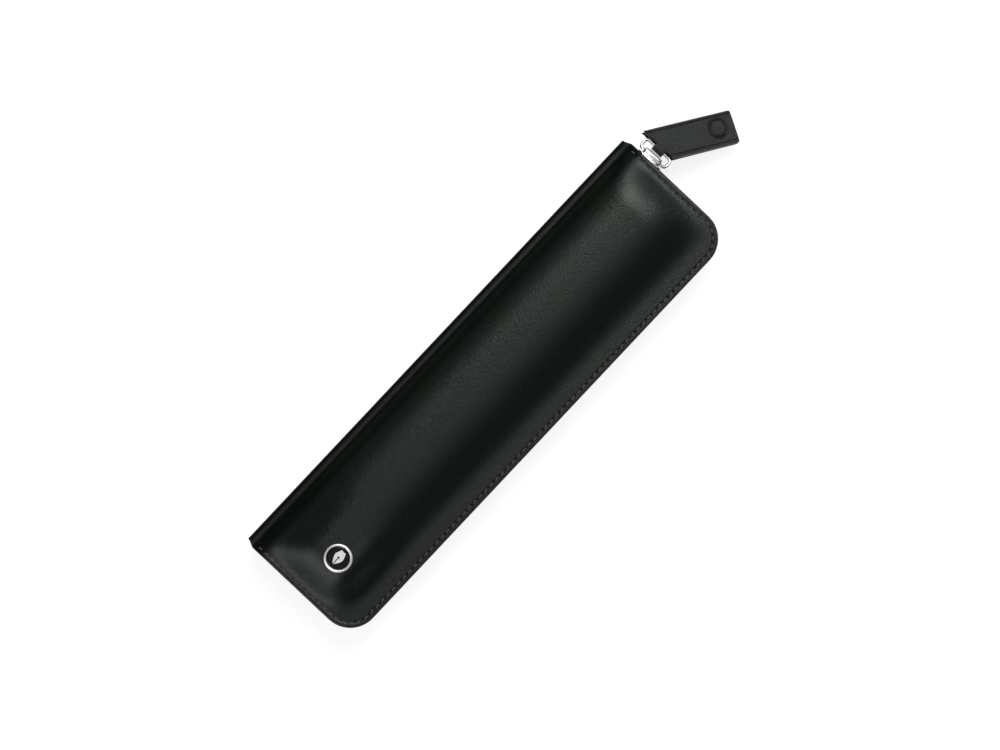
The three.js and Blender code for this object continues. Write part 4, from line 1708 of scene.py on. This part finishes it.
@dataclass
class PenLoop:
    """The leather band inside the back half that keeps the pen in place, sewn down by its foot."""

    sizes: CaseSizes
    repeat: RepeatAlongPath
    wall: float = 0.7
    stitch_inset: float = 1.1
    stitch_length: float = 1.5
    row_end_gap: float = 1.6
    thread_radius: float = 0.2

    def build(self) -> None:
        """Makes the band, its foot and the two rows of stitches that hold it."""
        low, high = node_box("pen_loop")
        centre = (low + high) / 2
        radius = (high[2] - low[2]) / 2
        half_length = (high[1] - low[1]) / 2
        inner = radius - self.wall
        soft = 0.2
        profile = [
            (inner, -half_length + soft), (inner + soft, -half_length), (radius - soft, -half_length),
            (radius, -half_length + soft), (radius, half_length - soft), (radius - soft, half_length),
            (inner + soft, half_length), (inner, half_length - soft),
        ]
        verts, faces = lathe(np.array(profile), 96)
        band = placed(verts, [(1, 0, 0), (0, 0, 1), (0, 1, 0)], centre), faces
        outline = rounded_rectangle(high[0] - low[0], 2 * half_length, 1.2)
        verts, faces = slab(outline, low[2], low[2] + self.wall, 0.2)
        foot = verts + centre * np.array([1, 1, 0]), faces
        loop = make_object("pen_loop_band", *joined(band, foot), FINISHES["lining"])
        finish_piece(loop, "back", "lining_leather", "pen_loop")
        for name, x in (("spine", low[0] + self.stitch_inset), ("zip", high[0] - self.stitch_inset)):
            middle = np.array([x, centre[1], low[2] + self.wall])
            self._stitch(f"pen_loop_stitches_{name}", middle, half_length)

    def _stitch(self, name: str, middle: Points, half_length: float) -> None:
        """Sews one edge of the foot down.

        Args:
            name: the row's name.
            middle: the middle of the row.
            half_length: half the foot's length.
        """
        reach = half_length - self.row_end_gap
        path = middle + np.array([(0, -reach, 0), (0, reach, 0)])
        item = one_stitch(self.stitch_length, self.thread_radius, 1)
        count = round(2 * reach / STITCH_PITCH) + 1
        row = self.repeat.lay(name, path, item, count, FINISHES["thread"], wobble=0.05)
        bpy.data.objects.remove(item)
        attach(row, "back")


@dataclass
class SpineLining:
    """The narrow lining leather inside the spine, its edges turned."""

    edge: float = 0.18

    def build(self) -> None:
        """Makes the strip in the room that the CAD strip takes."""
        low, high = node_box("spine_lining")
        middle, size = (low + high) / 2, high - low
        outline = rounded_rectangle(size[1], size[2], 1.0)
        verts, faces = slab(outline, -size[0] / 2, size[0] / 2, self.edge)
        verts = placed(verts, [(0, 1, 0), (0, 0, 1), (1, 0, 0)], middle)
        strip = make_object("spine_lining_strip", verts, faces, FINISHES["lining"])
        finish_piece(strip, "spine", "lining_leather", "spine_lining")


def dress_cad_nodes(dressed: dict[str, str]) -> None:
    """Gives each carried-over CAD node its finish.

    Args:
        dressed: node name to the name of its finish.
    """
    for name, finish in dressed.items():
        node = frame["nodes"][name]
        node.data.materials.clear()
        node.data.materials.append(FINISHES[finish])


# ---- Studio ----


@dataclass(frozen=True)
class SoftPanel:
    """One soft light: how far it leans from overhead, its half angles seen from the case, its brightness."""

    name: str
    lean_x: float
    lean_y: float
    half_width: float
    half_length: float
    radiance: float


@dataclass
class Studio:
    """A pale lit table, four soft panels and the camera above."""

    middle_height: float = 0.016
    camera_place: tuple[float, float] = (-0.000387, 0.005586)
    camera_height: float = 1.0
    camera_turn: float = 43.25
    lens: float = 118.8
    floor_tint: str = "#8c8c8b"
    floor_glow: float = 0.84
    floor_half_size: float = 3.0
    floor_level: float = -0.0002
    room_tint: str = "#f0f3ff"
    room_fill: float = 0.05
    panel_distance: float = 1.6
    panels: tuple[SoftPanel, ...] = (
        SoftPanel("key panel, spine side", -20.0, 32.0, 11.0, 19.0, 7.0),
        SoftPanel("overhead panel", 14.0, 2.0, 22.0, 34.0, 0.52),
        SoftPanel("near end panel", -6.0, -52.0, 24.0, 14.0, 2.5),
        SoftPanel("far end panel", -16.0, 54.0, 16.0, 12.0, 1.7),
    )

    def build(self) -> None:
        """Sets up the table, lights, world and camera."""
        self._table()
        for panel in self.panels:
            self._panel(panel)
        self._world()
        camera = bpy.data.objects.new("camera", bpy.data.cameras.new("camera"))
        camera.data.lens = self.lens
        camera.data.sensor_width = 36.0
        camera.location = (*self.camera_place, self.middle_height + self.camera_height)
        camera.rotation_euler = (0.0, 0.0, math.radians(self.camera_turn))
        bpy.context.scene.collection.objects.link(camera)
        bpy.context.scene.camera = camera
        bpy.context.scene.view_settings.view_transform = "Standard"

    def _table(self) -> None:
        """Lays the pale table under the case, lit from inside so that shadows stay faint."""
        mesh = bpy.data.meshes.new("table")
        half, low = self.floor_half_size, self.floor_level
        corners = [(-half, -half, low), (half, -half, low), (half, half, low), (-half, half, low)]
        mesh.from_pydata(corners, [], [(0, 1, 2, 3)])
        material, tree, shader = new_material("white acrylic, lit")
        feed(tree, shader, {
            "Base Color": linear(self.floor_tint), "Roughness": 0.6,
            "Emission Color": linear("#ffffff"), "Emission Strength": self.floor_glow,
        })
        mesh.materials.append(material)
        table = bpy.data.objects.new("table", mesh)
        bpy.context.scene.collection.objects.link(table)

    def _panel(self, panel: SoftPanel) -> None:
        """Hangs one soft panel that faces the case.

        Args:
            panel: its place, size and brightness.
        """
        lean_x, lean_y = math.radians(panel.lean_x), math.radians(panel.lean_y)
        direction = Vector((math.tan(lean_x), math.tan(lean_y), 1.0)).normalized()
        data = bpy.data.lights.new(panel.name, "AREA")
        data.shape = "RECTANGLE"
        data.size = 2 * self.panel_distance * math.tan(math.radians(panel.half_width))
        data.size_y = 2 * self.panel_distance * math.tan(math.radians(panel.half_length))
        data.energy = panel.radiance * math.pi * data.size * data.size_y
        light = bpy.data.objects.new(panel.name, data)
        light.location = direction * self.panel_distance
        across = Vector((1.0, 0.0, 0.0))
        along = direction.cross(across).normalized()
        across = along.cross(direction)
        light.rotation_euler = Matrix((across, along, direction)).transposed().to_euler()
        bpy.context.scene.collection.objects.link(light)

    def _world(self) -> None:
        """Fills the room with a dim even light."""
        world = bpy.data.worlds.new("room")
        world.use_nodes = True
        feed(world.node_tree, world.node_tree.nodes["Background"], {
            "Color": linear(self.room_tint), "Strength": self.room_fill,
        })
        bpy.context.scene.world = world


# ---- The case ----


def main() -> None:
    """Builds the case in order, from its leather to its pull, then the studio."""
    logging.basicConfig(level=logging.INFO, format="%(name)s: %(message)s")
    repeat = RepeatAlongPath()
    for side in Side:
        cover = CoverLeather(side, SIZES)
        cover.join_spine(cover.build())
        InnerSkin.lining(cover).build()
        InnerSkin.board(cover).build()
        SewnMargin(side, SIZES, repeat).build()
        LOG.info("%s half built", side.label)
    clamp("bottom_clamp", "zip_bottom_stop", "back")
    SpineLining().build()
    PenLoop(SIZES, repeat).build()
    LOG.info("inside built")
    Badge().build()
    LOG.info("badge built")
    ZipSlider().build()
    place = PullGeometry.from_frame()
    PullLink(place).build()
    PullTab(place).build()
    LOG.info("slider and pull built")
    dress_cad_nodes({
        "spine_board": "board",
        "badge_post": "zip", "badge_washer": "zip", "pull_tab_core": "board",
    })
    Studio().build()


if __name__ == "__main__":
    main()
